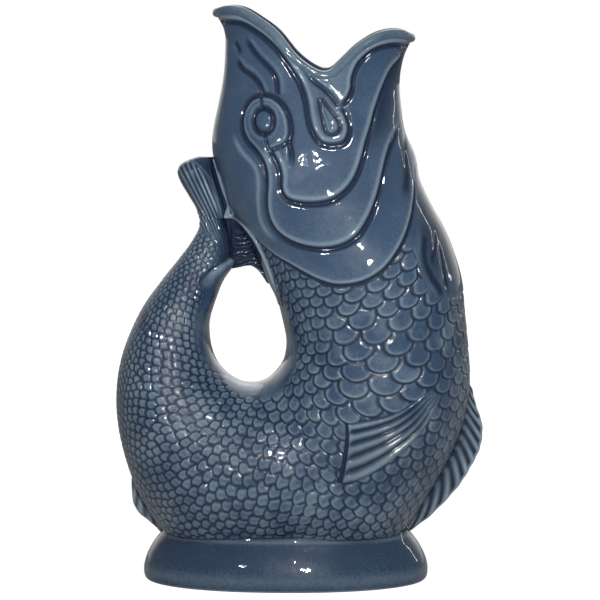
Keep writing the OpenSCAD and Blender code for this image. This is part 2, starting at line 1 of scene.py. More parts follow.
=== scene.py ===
import bpy
import bmesh
import math
import numpy as np
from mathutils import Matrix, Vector


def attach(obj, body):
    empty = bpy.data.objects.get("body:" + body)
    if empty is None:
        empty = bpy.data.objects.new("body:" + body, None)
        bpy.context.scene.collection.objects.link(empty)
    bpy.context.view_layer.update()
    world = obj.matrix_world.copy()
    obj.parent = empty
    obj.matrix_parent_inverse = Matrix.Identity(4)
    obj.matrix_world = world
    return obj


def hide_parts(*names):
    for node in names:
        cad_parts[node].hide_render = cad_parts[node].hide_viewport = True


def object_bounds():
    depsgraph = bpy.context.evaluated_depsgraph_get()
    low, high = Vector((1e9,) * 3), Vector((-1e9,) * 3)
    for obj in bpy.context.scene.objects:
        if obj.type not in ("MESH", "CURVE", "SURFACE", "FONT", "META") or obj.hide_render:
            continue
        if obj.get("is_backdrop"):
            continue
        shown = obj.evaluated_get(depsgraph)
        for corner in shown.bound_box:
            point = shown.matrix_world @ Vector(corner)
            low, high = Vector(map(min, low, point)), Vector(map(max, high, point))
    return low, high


# Fish gurgle jug in blue-grey glazed earthenware. Places are in mm until a mesh is written.
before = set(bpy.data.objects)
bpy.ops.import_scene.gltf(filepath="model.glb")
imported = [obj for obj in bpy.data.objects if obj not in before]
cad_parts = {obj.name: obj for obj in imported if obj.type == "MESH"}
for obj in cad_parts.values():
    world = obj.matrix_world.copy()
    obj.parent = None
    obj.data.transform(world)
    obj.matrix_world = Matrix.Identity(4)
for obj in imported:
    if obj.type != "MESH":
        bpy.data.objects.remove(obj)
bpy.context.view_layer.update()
seed = 7
rng = np.random.default_rng(seed)

body = {  # the fish's body and tail at even steps round the finger hole
    "rows": [  # outer x, outer z, inner x, inner z, half depth
        (75.9, 128.0, -10.4, 128.0, 44.5), (77.9, 108.1, -6.9, 113.0, 45.0), (78.6, 90.1, -7.4, 104.0, 46.0),
        (74.9, 70.0, -9.6, 99.0, 46.5), (65.3, 49.0, -12.4, 95.6, 46.0), (45.8, 19.0, -15.2, 93.2, 45.0),
        (29.0, 9.0, -18.2, 91.8, 45.0), (-6.1, 11.1, -21.5, 91.0, 45.0), (-41.0, 10.1, -25.0, 91.2, 44.0),
        (-60.0, 18.6, -28.4, 92.2, 42.0), (-74.1, 37.9, -31.8, 94.2, 38.5), (-82.3, 59.9, -35.4, 97.4, 35.0),
        (-85.4, 81.9, -38.8, 102.4, 31.5), (-82.8, 103.1, -41.0, 110.2, 28.0),
        (-74.5, 123.5, -41.4, 120.0, 24.0), (-64.5, 138.1, -40.0, 129.5, 19.5),
        (-56.3, 148.4, -36.4, 139.5, 16.0), (-50.2, 156.6, -32.0, 148.8, 13.5),
        (-47.1, 163.0, -32.0, 157.5, 11.5), (-47.2, 169.1, -34.6, 167.0, 10.0),
    ],
    "power": 2.2,  # squareness of every cross section
    "wall": 4.5,
    "seam": 128.0,
    "top": 265.0,
    "saddle": (23.5, 1.0, 113.4, -6.6),  # height, drop, length and centre of the seat on the foot
    "headStep": 20.0,  # mm of head height that counts as one step above the seam
}
head = {
    "rows": [  # left, right, half depth at even heights from the seam to the lip tip
        (-10.3, 75.9, 44.5), (-15.3, 74.6, 45.5), (-20.2, 71.3, 45.5), (-26.7, 66.7, 44.5),
        (-32.6, 60.4, 43.0), (-36.4, 55.1, 41.0), (-40.0, 52.8, 38.5), (-39.9, 48.1, 35.5),
        (-37.6, 46.4, 32.0), (-35.4, 45.8, 28.5), (-34.4, 47.9, 26.0), (-34.8, 53.5, 24.0),
        (-40.5, 58.1, 22.0),
    ],
    "rim": (0.04, 0, 0.04, 0.2, 0.36, 0.54, 0.71, 0.84, 0.94, 1, 0.97, 0.8, 0.59, 0.44, 0.375, 0.37, 0.43),
    "rimDip": 29.3,
    "bead": 2.4,
    "roll": 1.1,
}
bodyRows = np.array(body["rows"])
headRows = np.array(head["rows"])
rimRows = np.array(head["rim"])[:, None]


def curveThrough(rows, t):  # smooth curve through the rows of a table, t in rows
    last = len(rows) - 1
    u = np.clip(np.asarray(t, float), 0, last)
    i = np.minimum(np.floor(u).astype(int), last - 1)
    f = (u - i)[..., None]
    p0, p1, p2, p3 = rows[np.maximum(i - 1, 0)], rows[i], rows[i + 1], rows[np.minimum(i + 2, last)]
    bend = p0 - 2.5 * p1 + 2 * p2 - p3 / 2 + f * (1.5 * (p1 - p2) + (p3 - p0) / 2)
    return p1 + f * ((p2 - p0) / 2 + f * bend)


def curveShare(rows, s):  # the same curve at shares of its length
    return curveThrough(rows, np.asarray(s, float) * (len(rows) - 1))


def roundPair(angle):  # unit cross section: place along and place across, from an angle in radians
    c, s = np.cos(angle), np.sin(angle)
    k = 2 / body["power"]
    return np.sign(c) * np.abs(c) ** k, np.sign(s) * np.abs(s) ** k


def bulge(c):  # how far a cross section still reaches across at a place along it
    return np.maximum(0, 1 - np.abs(c) ** body["power"]) ** (1 / body["power"])


def headRow(z):  # left, right and half depth of the head at a height
    return curveShare(headRows, (z - body["seam"]) / (body["top"] - body["seam"]))


def headPoint(angle, z, lift=0.0):  # place on the head, lifted off the solid by some mm
    r = headRow(z)
    c, s = roundPair(angle)
    mid, half = (r[..., 0] + r[..., 1]) / 2, (r[..., 1] - r[..., 0]) / 2
    return np.stack([mid + (half + lift) * c, (r[..., 2] + lift) * s, z + 0 * c], -1)


def headSide(x, z, lift=0.0):  # the near side of the head at a place of the side view
    r = headRow(z)
    mid, half = (r[..., 0] + r[..., 1]) / 2, (r[..., 1] - r[..., 0]) / 2
    c = np.clip((x - mid) / half, -0.995, 0.995)
    return np.stack([mid + (half + lift) * c, -(r[..., 2] + lift) * bulge(c), z], -1)


def rimHeight(c):  # top of the wall under the rolled edge, at a place along the head
    return body["top"] - head["bead"] - head["rimDip"] * curveShare(rimRows, (c + 1) / 2)[..., 0]


def bodyRow(t):  # the fish's section at t steps, blended into the head at the seam
    b = curveThrough(bodyRows, t)
    h = headRow(np.array(body["seam"]))
    k = np.maximum(0, 1 - np.asarray(t, float))[..., None]
    seam = np.array([h[1], body["seam"], h[0], body["seam"], h[2]])
    return b + k * (seam - b)


def saddleHeight(x):  # the seat on the foot, highest in the middle
    high, drop, length, centre = body["saddle"]
    return high - drop * np.minimum(1, np.abs(x - centre) / (length / 2)) ** 2


def bodyAt(t, c, s, lift=0.0):  # place on the body from its step and its place in the section
    r = bodyRow(t)
    across, up = (r[..., 0] - r[..., 2]) / 2, (r[..., 1] - r[..., 3]) / 2
    half = np.hypot(across, up)
    k = (half + lift) / half * c
    x = (r[..., 0] + r[..., 2]) / 2 + across * k
    z = (r[..., 1] + r[..., 3]) / 2 + up * k
    return np.stack([x, (r[..., 4] + lift) * s, z], -1)


def fishPoint(t, angle, lift=0.0):  # head above the seam for t < 0, body and tail below it
    t, angle = np.broadcast_arrays(np.asarray(t, float), np.asarray(angle, float))
    c, s = roundPair(angle)
    low = bodyAt(np.maximum(t, 0), c, s, lift)
    high = headPoint(angle, body["seam"] - np.minimum(t, 0) * body["headStep"], lift)
    return np.where((t < 0)[..., None], high, low)


def gridNormals(p, way, closed=False):  # unit normals of a grid of points, the middle one towards way
    along = np.gradient(p, axis=0)
    if closed:
        wide = np.concatenate([p[:, -2:-1], p, p[:, 1:2]], 1)
        across = (wide[:, 2:] - wide[:, :-2]) / 2
    else:
        across = np.gradient(p, axis=1)
    n = np.cross(along, across)
    n = n / np.maximum(np.linalg.norm(n, axis=-1, keepdims=True), 1e-9)
    rows, cols = p.shape[:2]
    middle = n[rows // 2, cols // 4 if closed else cols // 2]
    return n if middle @ np.array(way) > 0 else -n


def smoothStep(x):
    x = np.clip(x, 0, 1)
    return x * x * (3 - 2 * x)


normalMarks = ("nx", "ny", "nz")  # normals carried on the points of a skin that is cut up later


def gridMesh(p, marks, closed=False, flip=False):  # a bmesh grid laid on points, marked for the glaze
    rows, cols = p.shape[:2]
    bm = bmesh.new()
    names = ["poolAndShade", "thinAndHighlight"] + [k for k in marks if k in normalMarks]
    layers = {k: bm.verts.layers.float.new(k) for k in names}
    bmesh.ops.create_grid(bm, x_segments=rows - 1, y_segments=cols - 1, size=0.5)
    places = (p * 0.001).tolist()
    lists = {k: v.tolist() for k, v in marks.items()}
    for v in bm.verts:
        i, j = round((v.co.x + 0.5) * (rows - 1)), round((v.co.y + 0.5) * (cols - 1))
        v.co = places[i][j]
        for k, values in lists.items():
            v[layers[k]] = values[i][j]
    if closed:
        seam = [v for v in bm.verts if v.is_boundary]
        bmesh.ops.remove_doubles(bm, verts=seam, dist=1e-6)
    if flip:
        bmesh.ops.reverse_faces(bm, faces=bm.faces)
    return bm


def faceOutward(bm):  # a tube's open ends are capped first, so that inside and outside are known
    bmesh.ops.holes_fill(bm, edges=bm.edges, sides=0)
    bmesh.ops.recalc_face_normals(bm, faces=bm.faces)


def turnTowards(bm, way):  # an open skin is turned so that its middle face looks that way
    bm.faces.ensure_lookup_table()
    middle = bm.faces[len(bm.faces) // 2]
    middle.normal_update()
    if middle.normal.dot(Vector(way)) < 0:
        bmesh.ops.reverse_faces(bm, faces=bm.faces)


def mirrorAcross(bm):  # the far side is the near side mirrored, with any normals that it carries
    turned = bm.verts.layers.float.get("ny")
    if turned is not None:
        for v in bm.verts:
            v[turned] = -v[turned]
    bmesh.ops.scale(bm, vec=(1, -1, 1), verts=bm.verts)
    bmesh.ops.reverse_faces(bm, faces=bm.faces)


def joinInto(bm, other):
    mesh = bpy.data.meshes.new("passing")
    other.to_mesh(mesh)
    bm.from_mesh(mesh)
    bpy.data.meshes.remove(mesh)
    other.free()


def finishPiece(name, bm, node, materials, mirrored=False):
    if mirrored:
        mirrorAcross(bm)
    for f in bm.faces:
        f.smooth = True
    mesh = bpy.data.meshes.new(name)
    bm.to_mesh(mesh)
    bm.free()
    if "nx" in mesh.attributes:  # a piece cut from a larger skin keeps the skin's normals
        parts = np.zeros((3, len(mesh.vertices)))
        for k, values in zip(normalMarks, parts):
            mesh.attributes[k].data.foreach_get("value", values)
        for k in normalMarks:
            mesh.attributes.remove(mesh.attributes[k])
        mesh.normals_split_custom_set_from_vertices(parts.T.tolist())
    for m in materials:
        mesh.materials.append(m)
    piece = bpy.data.objects.new(name, mesh)
    bpy.context.collection.objects.link(piece)
    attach(piece, "root")
    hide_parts(node)


# Materials

def linear(hexColor):  # sRGB hex to the linear colour that the shader wants
    parts = [int(hexColor[i:i + 2], 16) / 255 for i in (1, 3, 5)]
    return tuple(v / 12.92 if v < 0.04045 else ((v + 0.055) / 1.055) ** 2.4 for v in parts) + (1.0,)


def addNode(tree, kind, settings=None, links=None):
    node = tree.nodes.new(kind)
    for key, value in (settings or {}).items():
        if key.startswith("in:"):
            node.inputs[key[3:]].default_value = value
        else:
            setattr(node, key, value)
    for key, source in (links or {}).items():
        tree.links.new(source, node.inputs[key])
    return node


def emptyTree(owner):  # a material or world with no nodes yet
    owner.use_nodes = True
    owner.node_tree.nodes.clear()
    return owner.node_tree


glaze = {
    "thinAndHighlight": "#9cb1bf",  # where the glaze breaks over an edge and the white body shows through; also the colour of painted highlights and reflections
    "deep": "#13223c",  # where it pools in a groove; also the colour of painted shade in hollows, troughs and the inside
    "patchMm": 14.0,  # clouds of thicker and thinner glaze
    "speckMm": 1.1,
    "speck": 0.06,  # how far a speck moves the shade
    "rippleMm": 5.5,  # slow waves left by the brush, which break up a highlight
    "rippleHighMm": 0.4,
    "rippleStrength": 0.4,
    "underRoughness": 0.35,
    "glassRoughness": 0.04,
    "ior": 1.5,
}


def glazeMaterial(name, plain, patch, coat=1.0):  # glossy fired glaze, clear glass over a coloured depth
    mat = bpy.data.materials.new(name)
    tree = emptyTree(mat)
    place = addNode(tree, "ShaderNodeTexCoord").outputs["Object"]
    poolAndShade = addNode(tree, "ShaderNodeAttribute", {"attribute_name": "poolAndShade"}).outputs["Fac"]
    thinAndHighlight = addNode(tree, "ShaderNodeAttribute", {"attribute_name": "thinAndHighlight"}).outputs["Fac"]
    patches = addNode(tree, "ShaderNodeTexNoise", {"in:Scale": 1000 / glaze["patchMm"], "in:Detail": 4.0,
                                                  "in:Roughness": 0.6}, {"Vector": place})
    shade = addNode(tree, "ShaderNodeMapRange",
                    {"in:From Min": 0.3, "in:From Max": 0.7, "in:To Min": -patch * 0.5,
                     "in:To Max": patch * 0.5}, {"Value": patches.outputs["Fac"]})
    specks = addNode(tree, "ShaderNodeTexNoise", {"in:Scale": 1000 / glaze["speckMm"], "in:Detail": 2.0},
                     {"Vector": place})
    speckShade = addNode(tree, "ShaderNodeMapRange",
                         {"in:From Min": 0.35, "in:From Max": 0.65, "in:To Min": -glaze["speck"],
                          "in:To Max": glaze["speck"]}, {"Value": specks.outputs["Fac"]})
    thinAndHighlightPlus = addNode(tree, "ShaderNodeMath", {"operation": "ADD"}, {0: thinAndHighlight, 1: shade.outputs["Result"]})
    thinAndHighlightAll = addNode(tree, "ShaderNodeMath", {"operation": "ADD", "use_clamp": True},
                      {0: thinAndHighlightPlus.outputs[0], 1: speckShade.outputs["Result"]})
    pale = addNode(tree, "ShaderNodeMix", {"data_type": "RGBA"}, {"Factor": thinAndHighlightAll.outputs[0]})
    pale.inputs[6].default_value = linear(plain)
    pale.inputs[7].default_value = linear(glaze["thinAndHighlight"])
    poolAndShadePlus = addNode(tree, "ShaderNodeMath", {"operation": "ADD", "use_clamp": True},
                       {0: poolAndShade, 1: speckShade.outputs["Result"]})
    dark = addNode(tree, "ShaderNodeMix", {"data_type": "RGBA"}, {"Factor": poolAndShadePlus.outputs[0],
                                                                 6: pale.outputs[2]})
    dark.inputs[7].default_value = linear(glaze["deep"])
    ripple = addNode(tree, "ShaderNodeTexNoise", {"in:Scale": 1000 / glaze["rippleMm"], "in:Detail": 1.0},
                     {"Vector": place})
    bump = addNode(tree, "ShaderNodeBump", {"in:Strength": glaze["rippleStrength"],
                                           "in:Distance": glaze["rippleHighMm"] / 1000},
                   {"Height": ripple.outputs["Fac"]})
    shader = addNode(tree, "ShaderNodeBsdfPrincipled", {"in:Roughness": glaze["underRoughness"],
                                                       "in:IOR": glaze["ior"], "in:Coat IOR": glaze["ior"],
                                                       "in:Specular IOR Level": 0.15, "in:Coat Weight": coat,
                                                       "in:Coat Roughness": glaze["glassRoughness"]},
                     {"Base Color": dark.outputs[2], "Normal": bump.outputs["Normal"],
                      "Coat Normal": bump.outputs["Normal"]})
    addNode(tree, "ShaderNodeOutputMaterial", None, {"Surface": shader.outputs["BSDF"]})
    return mat


def bisqueMaterial():  # bare fired earthenware, matt and chalky, on the ring that stood in the kiln
    mat = bpy.data.materials.new("bareEarthenware")
    tree = emptyTree(mat)
    place = addNode(tree, "ShaderNodeTexCoord").outputs["Object"]
    grain = addNode(tree, "ShaderNodeTexNoise", {"in:Scale": 1400.0, "in:Detail": 4.0},  # grains of 0.7 mm
                    {"Vector": place})
    mix = addNode(tree, "ShaderNodeMix", {"data_type": "RGBA"}, {"Factor": grain.outputs["Fac"]})
    mix.inputs[6].default_value = linear("#cfc6b6")
    mix.inputs[7].default_value = linear("#e6e0d4")
    bump = addNode(tree, "ShaderNodeBump", {"in:Strength": 0.4, "in:Distance": 0.0002},
                   {"Height": grain.outputs["Fac"]})
    shader = addNode(tree, "ShaderNodeBsdfPrincipled", {"in:Roughness": 0.85},
                     {"Base Color": mix.outputs[2], "Normal": bump.outputs["Normal"]})
    addNode(tree, "ShaderNodeOutputMaterial", None, {"Surface": shader.outputs["BSDF"]})
    return mat


glazeBody = glazeMaterial("blueGlazeBody", "#3c536e", 0.5)  # clouded over the scales
glazeHead = glazeMaterial("blueGlazeHead", "#3f5773", 0.12)  # even on the smooth plates
glazeEdge = glazeMaterial("blueGlazeThin", "#4c6276", 0.3)  # thinner on the rolled edge and the keels
glazeShadedWeb = glazeMaterial("blueGlazeShadedWeb", "#112444", 0.1, 0.35)  # painted shade: darker and duller for the web, deep in its recess
glazeFoot = glazeMaterial("blueGlazeFoot", "#324863", 0.07)  # darker and even on the foot
bisque = bisqueMaterial()
print("materials ready")


# Lines carved in the side of the head: places x, z of the near side, seen from the side

def smoothLine(points, stepMm=1.2):
    pts = np.array(points, float)
    count = max(8, int(np.linalg.norm(np.diff(pts, axis=0), axis=1).sum() / stepMm))
    return curveShare(pts, np.linspace(0, 1, count))


lipLine = [
    (-44, 256.5), (-34.2, 257.5), (-30.1, 257.3), (-25.4, 256.4), (-19.6, 253.2), (-13.9, 248.9),
    (-8.4, 243.3), (-3.9, 236.9), (0, 231.1), (2.4, 225.5), (3.7, 220.4), (4.4, 215.6), (5.8, 210.3),
    (8.1, 205.9), (10.8, 203.4), (15.1, 202.5), (19.3, 203.1), (21.9, 205.3), (23, 209.7), (22.3, 213.3),
    (21, 216.8), (19.2, 219.1), (18.5, 219.9),
]
lipLineFront = [
    (18.5, 219.9), (22, 222.8), (24.1, 227.4), (24.5, 232.2), (26.3, 237.3), (28.9, 240.7), (33, 244.1),
    (37.5, 246.1), (42.5, 247), (47.5, 246.7), (53, 246.2),
]
cheekLine = [
    (-12.4, 200), (-10.2, 196.5), (-8.5, 192.6), (-7.7, 188.3), (-7.7, 184.3), (-6.8, 180.9), (-4.4, 178.3),
    (0.3, 176.9), (7.5, 176.6), (14.6, 177.9), (19.8, 180.8), (23.8, 184.8), (26.7, 189.8), (28.9, 196.1),
    (30.6, 203), (32.7, 210), (34.5, 217.1), (36.6, 223.6), (39, 230.2), (41.8, 236.1), (45.4, 240.5),
    (47.5, 245.9),
]
plateLine = [
    (-17, 224.8), (-21.3, 222.8), (-24.2, 218.8), (-25.6, 213.5), (-25.2, 208.5), (-23, 204),
    (-19.3, 200.2), (-16.2, 195.6), (-14.5, 190.7), (-14.1, 185.3), (-14.4, 178.9), (-14, 173.1),
    (-12.4, 168.1), (-8.8, 163.1), (-2.6, 159.1), (5.3, 156.8), (13.9, 156.6), (21.8, 158.8), (27.5, 163),
    (31.7, 169.3), (34.5, 175.6), (36.7, 182.5), (38.4, 190.1), (40.2, 197.8), (42.6, 204.6), (45.6, 210.5),
]
gillLine = [
    (-34.6, 167.6), (-30, 168.2), (-25.7, 166.2), (-20.4, 162.1), (-15.9, 156.9), (-10, 152.2),
    (-2.7, 148.2), (3, 145.1), (10, 141.9), (18.2, 140), (28.9, 141.6), (37.5, 146.3), (43.9, 153.6),
    (48.2, 161.5), (50.7, 169.3), (51.9, 177.5), (52.4, 185.5), (52.4, 194.6),
]
napeLine = [
    (-33.6, 167.6), (-32, 169.7), (-25.3, 166), (-20.4, 161), (-17.2, 155.2), (-14.6, 149.6),
    (-12.5, 144.6), (-10.4, 139.4), (-9.4, 134), (-8.9, 129),
]
napeBack = [(-39.1, 195.4), (-37.4, 189.6), (-34.9, 180.7), (-32, 169.7)]
eyeRight = [
    (-17, 224.8), (-12.2, 224.2), (-8.2, 221.6), (-5.3, 217.7), (-3.8, 213.1), (-3.4, 208.2), (-4, 203.9),
    (-3.2, 199.7), (-2.8, 195.5), (-3.3, 191.2),
]
eyeLow = [(-12.5, 200), (-8.4, 201.6), (-6.3, 202.9), (-4, 205)]
slitTop = [(-16.7, 224.5), (-16.4, 221.5), (-16.1, 218.4)]
slitLow = [(-15.2, 208), (-14.4, 205.2), (-13.6, 202.6), (-12.5, 200)]
browLow = [
    (-29, 240.5), (-27.4, 238.9), (-25.4, 236.3), (-21.2, 233.6), (-18.2, 230.5), (-16.5, 226.9),
    (-15.7, 224.9),
]
browHigh = [
    (-25, 251), (-22.4, 247.2), (-18.7, 242.4), (-14.6, 238.4), (-11.3, 234.6), (-9.7, 230.6), (-9.2, 225),
]
cuspLine = [(18.5, 219.9), (14.9, 224.6), (11.1, 228), (7.2, 230.8), (3.8, 234.8), (1.2, 238.5)]
dropLine = [
    (9.2, 224.6), (12.5, 220.4), (15.5, 216.7), (18, 212.6), (18.3, 209.4), (15.6, 207.4), (12.7, 208.5),
    (11.5, 212.2), (10.3, 217.4), (9.2, 224.6),
]
eyeLine = plateLine[:9] + cheekLine[3:0:-1] + eyeLow + eyeRight[5:0:-1]
browTick = [(-29.6, 249), (-28, 246), (-26.4, 242.7)]
foldA = [(57, 166), (56.7, 153), (59.3, 144.5), (63.8, 136.7), (65.1, 132.1)]  # loose folds down the throat
foldB = [(61.2, 166), (61.5, 156.3), (60.2, 151), (61.9, 144.5)]
foldC = [(63, 160), (64.6, 150), (66.5, 140), (68.5, 133)]
throatFold = [(47.8, 176), (48.6, 188), (48.2, 200), (48.9, 212), (50, 224)]

carving = [  # line, a place on its raised side, height, fall-off, groove depth and width, fade at each end
    (gillLine, (10, 170), 1.4, 16.0, 0.6, 1.25, 2, 14),
    (plateLine, (10, 185), 1.15, 12.0, 0.8, 1.6, 0.5, 9),
    (cheekLine, (10, 195), 1.15, 12.0, 0.8, 1.6, 0.5, 6),
    (lipLine, (12, 208), 1.2, 10.0, 0.85, 1.6, 2, 3),
    (lipLineFront, (20, 240), 1.2, 8.0, 0.9, 1.5, 3, 2),
    (eyeRight, (-14, 213), 0.3, 2.0, 0.95, 1.5, 0.5, 8),
    (eyeLow, (-14, 208), 0.3, 3.0, 0.8, 1.2, 0.5, 0.5),
    (slitTop, (-15, 222), 0.0, 3.0, 0.8, 1.0, 0.5, 0.5),
    (slitLow, (-12, 205), 0.0, 3.0, 0.8, 1.0, 0.5, 0.5),
    (browTick, (-28, 240), 0.0, 3.0, 0.5, 1.2, 2, 2),
    (browLow, (-10, 240), 0.2, 4.0, 0.8, 1.5, 3, 0.5),
    (browHigh, (-5, 245), 0.2, 4.5, 0.8, 1.5, 5, 0.5),
    (cuspLine, (25, 225), 0.4, 5.0, 0.85, 1.4, 1, 12),
    (dropLine, (15, 212), 0.4, 3.0, 0.7, 1.1, 3, 3),
    (throatFold, (52, 200), 0.1, 3.0, 0.3, 2.4, 9, 9),
    (foldA, (52, 160), 0.0, 3.0, 0.4, 2.1, 8, 5),
    (foldB, (52, 160), 0.0, 3.0, 0.35, 1.8, 8, 7),
    (foldC, (52, 150), 0.0, 3.0, 0.35, 1.8, 8, 7),
]
plateSide = [
    (-30.4, 209), (-28, 203), (-24.6, 198), (-20.5, 194), (-18.4, 189.5), (-17.9, 184.5), (-18.1, 179),
    (-17.7, 173), (-16.4, 167.8), (-13, 162.6), (-8, 158.6),
]
ridges = [  # line, height, width, fade at each end, painted shade in a moat beside it
    (napeLine, 0.6, 1.0, 0.5, 4, 0.75),
    (napeBack, 0.3, 0.6, 3, 0.5, 0.75),
    (plateSide, 0.2, 1.2, 9, 10, 0),
]
eye = {
    "centre": (-15.4, 213.1), "pupil": (3.6, 4.5), "ring": (4.5, 5.5),  # half widths and half heights
    "domed": 0.6, "grooved": 0.8, "bulging": 0.75,  # mm
}


def lineDistance(p, line):  # distance to a line on the near side, side of it, way along it, its length
    lift = headSide(line[:, 0], line[:, 1])
    a, b = lift[:-1], lift[1:]
    ab = b - a
    length = np.linalg.norm(ab, axis=1)
    start = np.concatenate([[0], np.cumsum(length)[:-1]])
    best = np.full(len(p), 1e9)
    side, way = np.zeros(len(p)), np.zeros(len(p))
    for k in range(len(a)):
        u = np.clip(((p - a[k]) @ ab[k]) / max(length[k] ** 2, 1e-9), 0, 1)
        d = np.linalg.norm(p - a[k] - u[:, None] * ab[k], axis=1)
        near = d < best
        cross = ab[k, 0] * (p[:, 2] - a[k, 2]) - ab[k, 2] * (p[:, 0] - a[k, 0])
        best = np.where(near, d, best)
        side = np.where(near, np.sign(cross), side)
        way = np.where(near, start[k] + u * length[k], way)
    return best, side, way, length.sum()


def signedDistance(p, line, inside):  # above zero on the side of the line where the place named inside lies
    probe = headSide(np.array([inside[0]], float), np.array([inside[1]], float))
    wanted = lineDistance(probe, line)[1][0]
    d, side, way, total = lineDistance(p, line)
    return d * side * wanted, way, total


def isInside(x, z, outline):  # even-odd test of places against a closed outline
    pts = np.array(outline, float)
    inside = np.zeros(x.shape, bool)
    for (xa, za), (xb, zb) in zip(pts, np.roll(pts, -1, 0)):
        crosses = (za > z) != (zb > z)
        with np.errstate(divide="ignore", invalid="ignore"):
            inside ^= crosses & (x < xa + (z - za) * (xb - xa) / (zb - za))
    return inside


groove = {"shift": 0.15, "reach": 0.72}  # its cross section, in widths
groovePoolAndShade = {"share": 0.9, "shift": 0.2, "reach": 0.95, "moat": 0.3, "moatMm": 3.4}  # glaze pooled in the groove, darkened with painted shade; the moat is a painted soft shadow beside it
paleEdge = {"place": 1.35, "inner": 0.5, "outer": 0.85, "least": 0.12, "perMm": 0.36}  # the glaze thins over the raised edge, with a painted highlight along it


def bell(x, power=2):
    return np.exp(-x ** power)


def fadeEnds(way, total, first, last):  # up over the first part of a way, down over the last
    return smoothStep(way / first) * smoothStep((total - way) / last)


def carveHead(p):  # height, pooled glaze with painted shade, and thin glaze with painted highlight, over points of the near side
    flat = p.reshape(-1, 3)
    height, poolAndShade, thinAndHighlight = np.zeros((3, len(flat)))
    x, z = flat[:, 0], flat[:, 2]
    near = flat[:, 1] < 0
    inEye = isInside(x, z, eyeLine) * near * smoothStep((z - 196) / 6)
    for points, inside, high, fall, depth, width, fadeA, fadeB in carving:
        d, way, total = signedDistance(flat, smoothLine(points), inside)
        fade = fadeEnds(way, total, fadeA, fadeB)
        soft = fadeEnds(way, total, max(fadeA, 6), max(fadeB, 6))
        soft = soft * (1 - smoothStep((np.abs(d) - 5) / 12))
        raised = np.where(d > 0, (1 - bell(d / 1.1)) * np.exp(-d / fall), 0) * (1 - inEye)
        cut = fade * depth * bell((d + groove["shift"] * width) / (groove["reach"] * width))
        height += soft * high * raised - cut
        run = bell((d + groovePoolAndShade["shift"] * width) / (groovePoolAndShade["reach"] * width), 4)
        poolAndShade = np.maximum(poolAndShade, groovePoolAndShade["share"] * fade * run)
        # painted soft shadow on the low side of each line
        moat = np.where(d < 0, np.exp(d / groovePoolAndShade["moatMm"]), 0)
        poolAndShade = np.maximum(poolAndShade, groovePoolAndShade["moat"] * soft * moat)
        past = d - paleEdge["place"] * width
        edge = bell(past / (np.where(past > 0, paleEdge["outer"], paleEdge["inner"]) * width))
        thinAndHighlight = np.maximum(thinAndHighlight, (paleEdge["least"] + paleEdge["perMm"] * high) * fade * edge)
        if high > 1:  # painted light: the plates are paler along their raised edges
            thinAndHighlight = np.maximum(thinAndHighlight, 0.2 * soft * np.where(d > 0, np.exp(-d / 4), 0))
    for points, high, width, fadeA, fadeB, moat in ridges:
        d, side, way, total = lineDistance(flat, smoothLine(points))
        fade = fadeEnds(way, total, fadeA, fadeB)
        height += fade * high * bell(d / width)
        poolAndShade = np.maximum(poolAndShade, moat * fade * bell((d - 2.0 * width) / width))
        poolAndShade = poolAndShade * (1 - fade * bell(d / (1.1 * width)))
        thinAndHighlight = np.maximum(thinAndHighlight, (0.45 + 0.4 * moat) * fade * bell(d / width))
    d = lineDistance(flat, np.array(eyeLine + eyeLine[:1], float))[0]
    height += inEye * eye["bulging"] * (1 - bell(d / 1.4))
    thinAndHighlight = inEye * 0.4 * bell((d - 1.9) / 0.6) + (1 - inEye) * thinAndHighlight
    cx, cz = eye["centre"]
    r, ring = (np.hypot((x - cx) / eye[k][0], (z - cz) / eye[k][1]) for k in ("pupil", "ring"))
    height += near * np.where(r < 1, eye["domed"] * np.sqrt(np.maximum(0, 1 - r * r)), 0)
    height -= near * eye["grooved"] * bell((ring - 1) / 0.22)
    poolAndShade = np.maximum(poolAndShade, near * bell((ring - 1) / 0.27, 4))
    thinAndHighlight = np.maximum(thinAndHighlight, near * 0.22 * bell((ring - 1.45) / 0.1))
    return [values.reshape(p.shape[:2]) for values in (height, poolAndShade, thinAndHighlight)]


# Scales: centres packed along the fish, drawn from the tail to the head so that each lies over the next

scales = {
    "top": 2.9,  # steps above the seam that they climb on the throat
    "end": 18.6,
    "steps": (-2.9, -1.9, 0, 1, 2, 3, 4, 5, 6, 8, 10, 12, 14, 16, 19),
    "size": [  # width at the hole, at the middle of the side and at the outer edge, then length shares there
        (6, 7.5, 7.5, 1.2, 1.2, 1.4), (6, 9.5, 8.2, 1.2, 1.05, 1.45), (6.3, 11.5, 9.4, 1.22, 0.92, 1.42),
        (6.2, 14.8, 10, 1.22, 1.0, 1.42), (6.4, 16, 8.8, 1.25, 0.9, 1.3), (6.4, 13.8, 7.6, 1.35, 0.96, 1.4),
        (6.4, 9, 6.6, 1.6, 1.35, 1.4), (6.6, 7.6, 5.8, 1.6, 1.55, 1.5), (6.2, 6.4, 5.2, 1.6, 1.6, 1.6),
        (5, 5.6, 4.8, 1.5, 1.6, 1.5), (4.8, 5.4, 4.2, 1.4, 1.4, 1.5), (4.4, 5.4, 3.4, 1.4, 1.3, 1.7),
        (3.6, 3.9, 3, 1.5, 1.6, 1.7), (3, 3.2, 2.8, 1.5, 1.5, 1.6), (2.8, 3, 2.7, 1.5, 1.5, 1.5),
    ],
    "high": 0.035,  # height of the free edge as a share of the width
    "groove": 0.5,
    "grooveWidth": 0.9,
    "grooveShare": 0.22,  # of the width, on a small scale
    "sunk": 0.25,
    "frontMm": 0.35,  # how far the packing front moves at a time
    "closest": 0.97,  # least distance between centres, in widths
    "lookBack": 260,  # how many of the last centres can still be near the front
    "tries": 150,
}


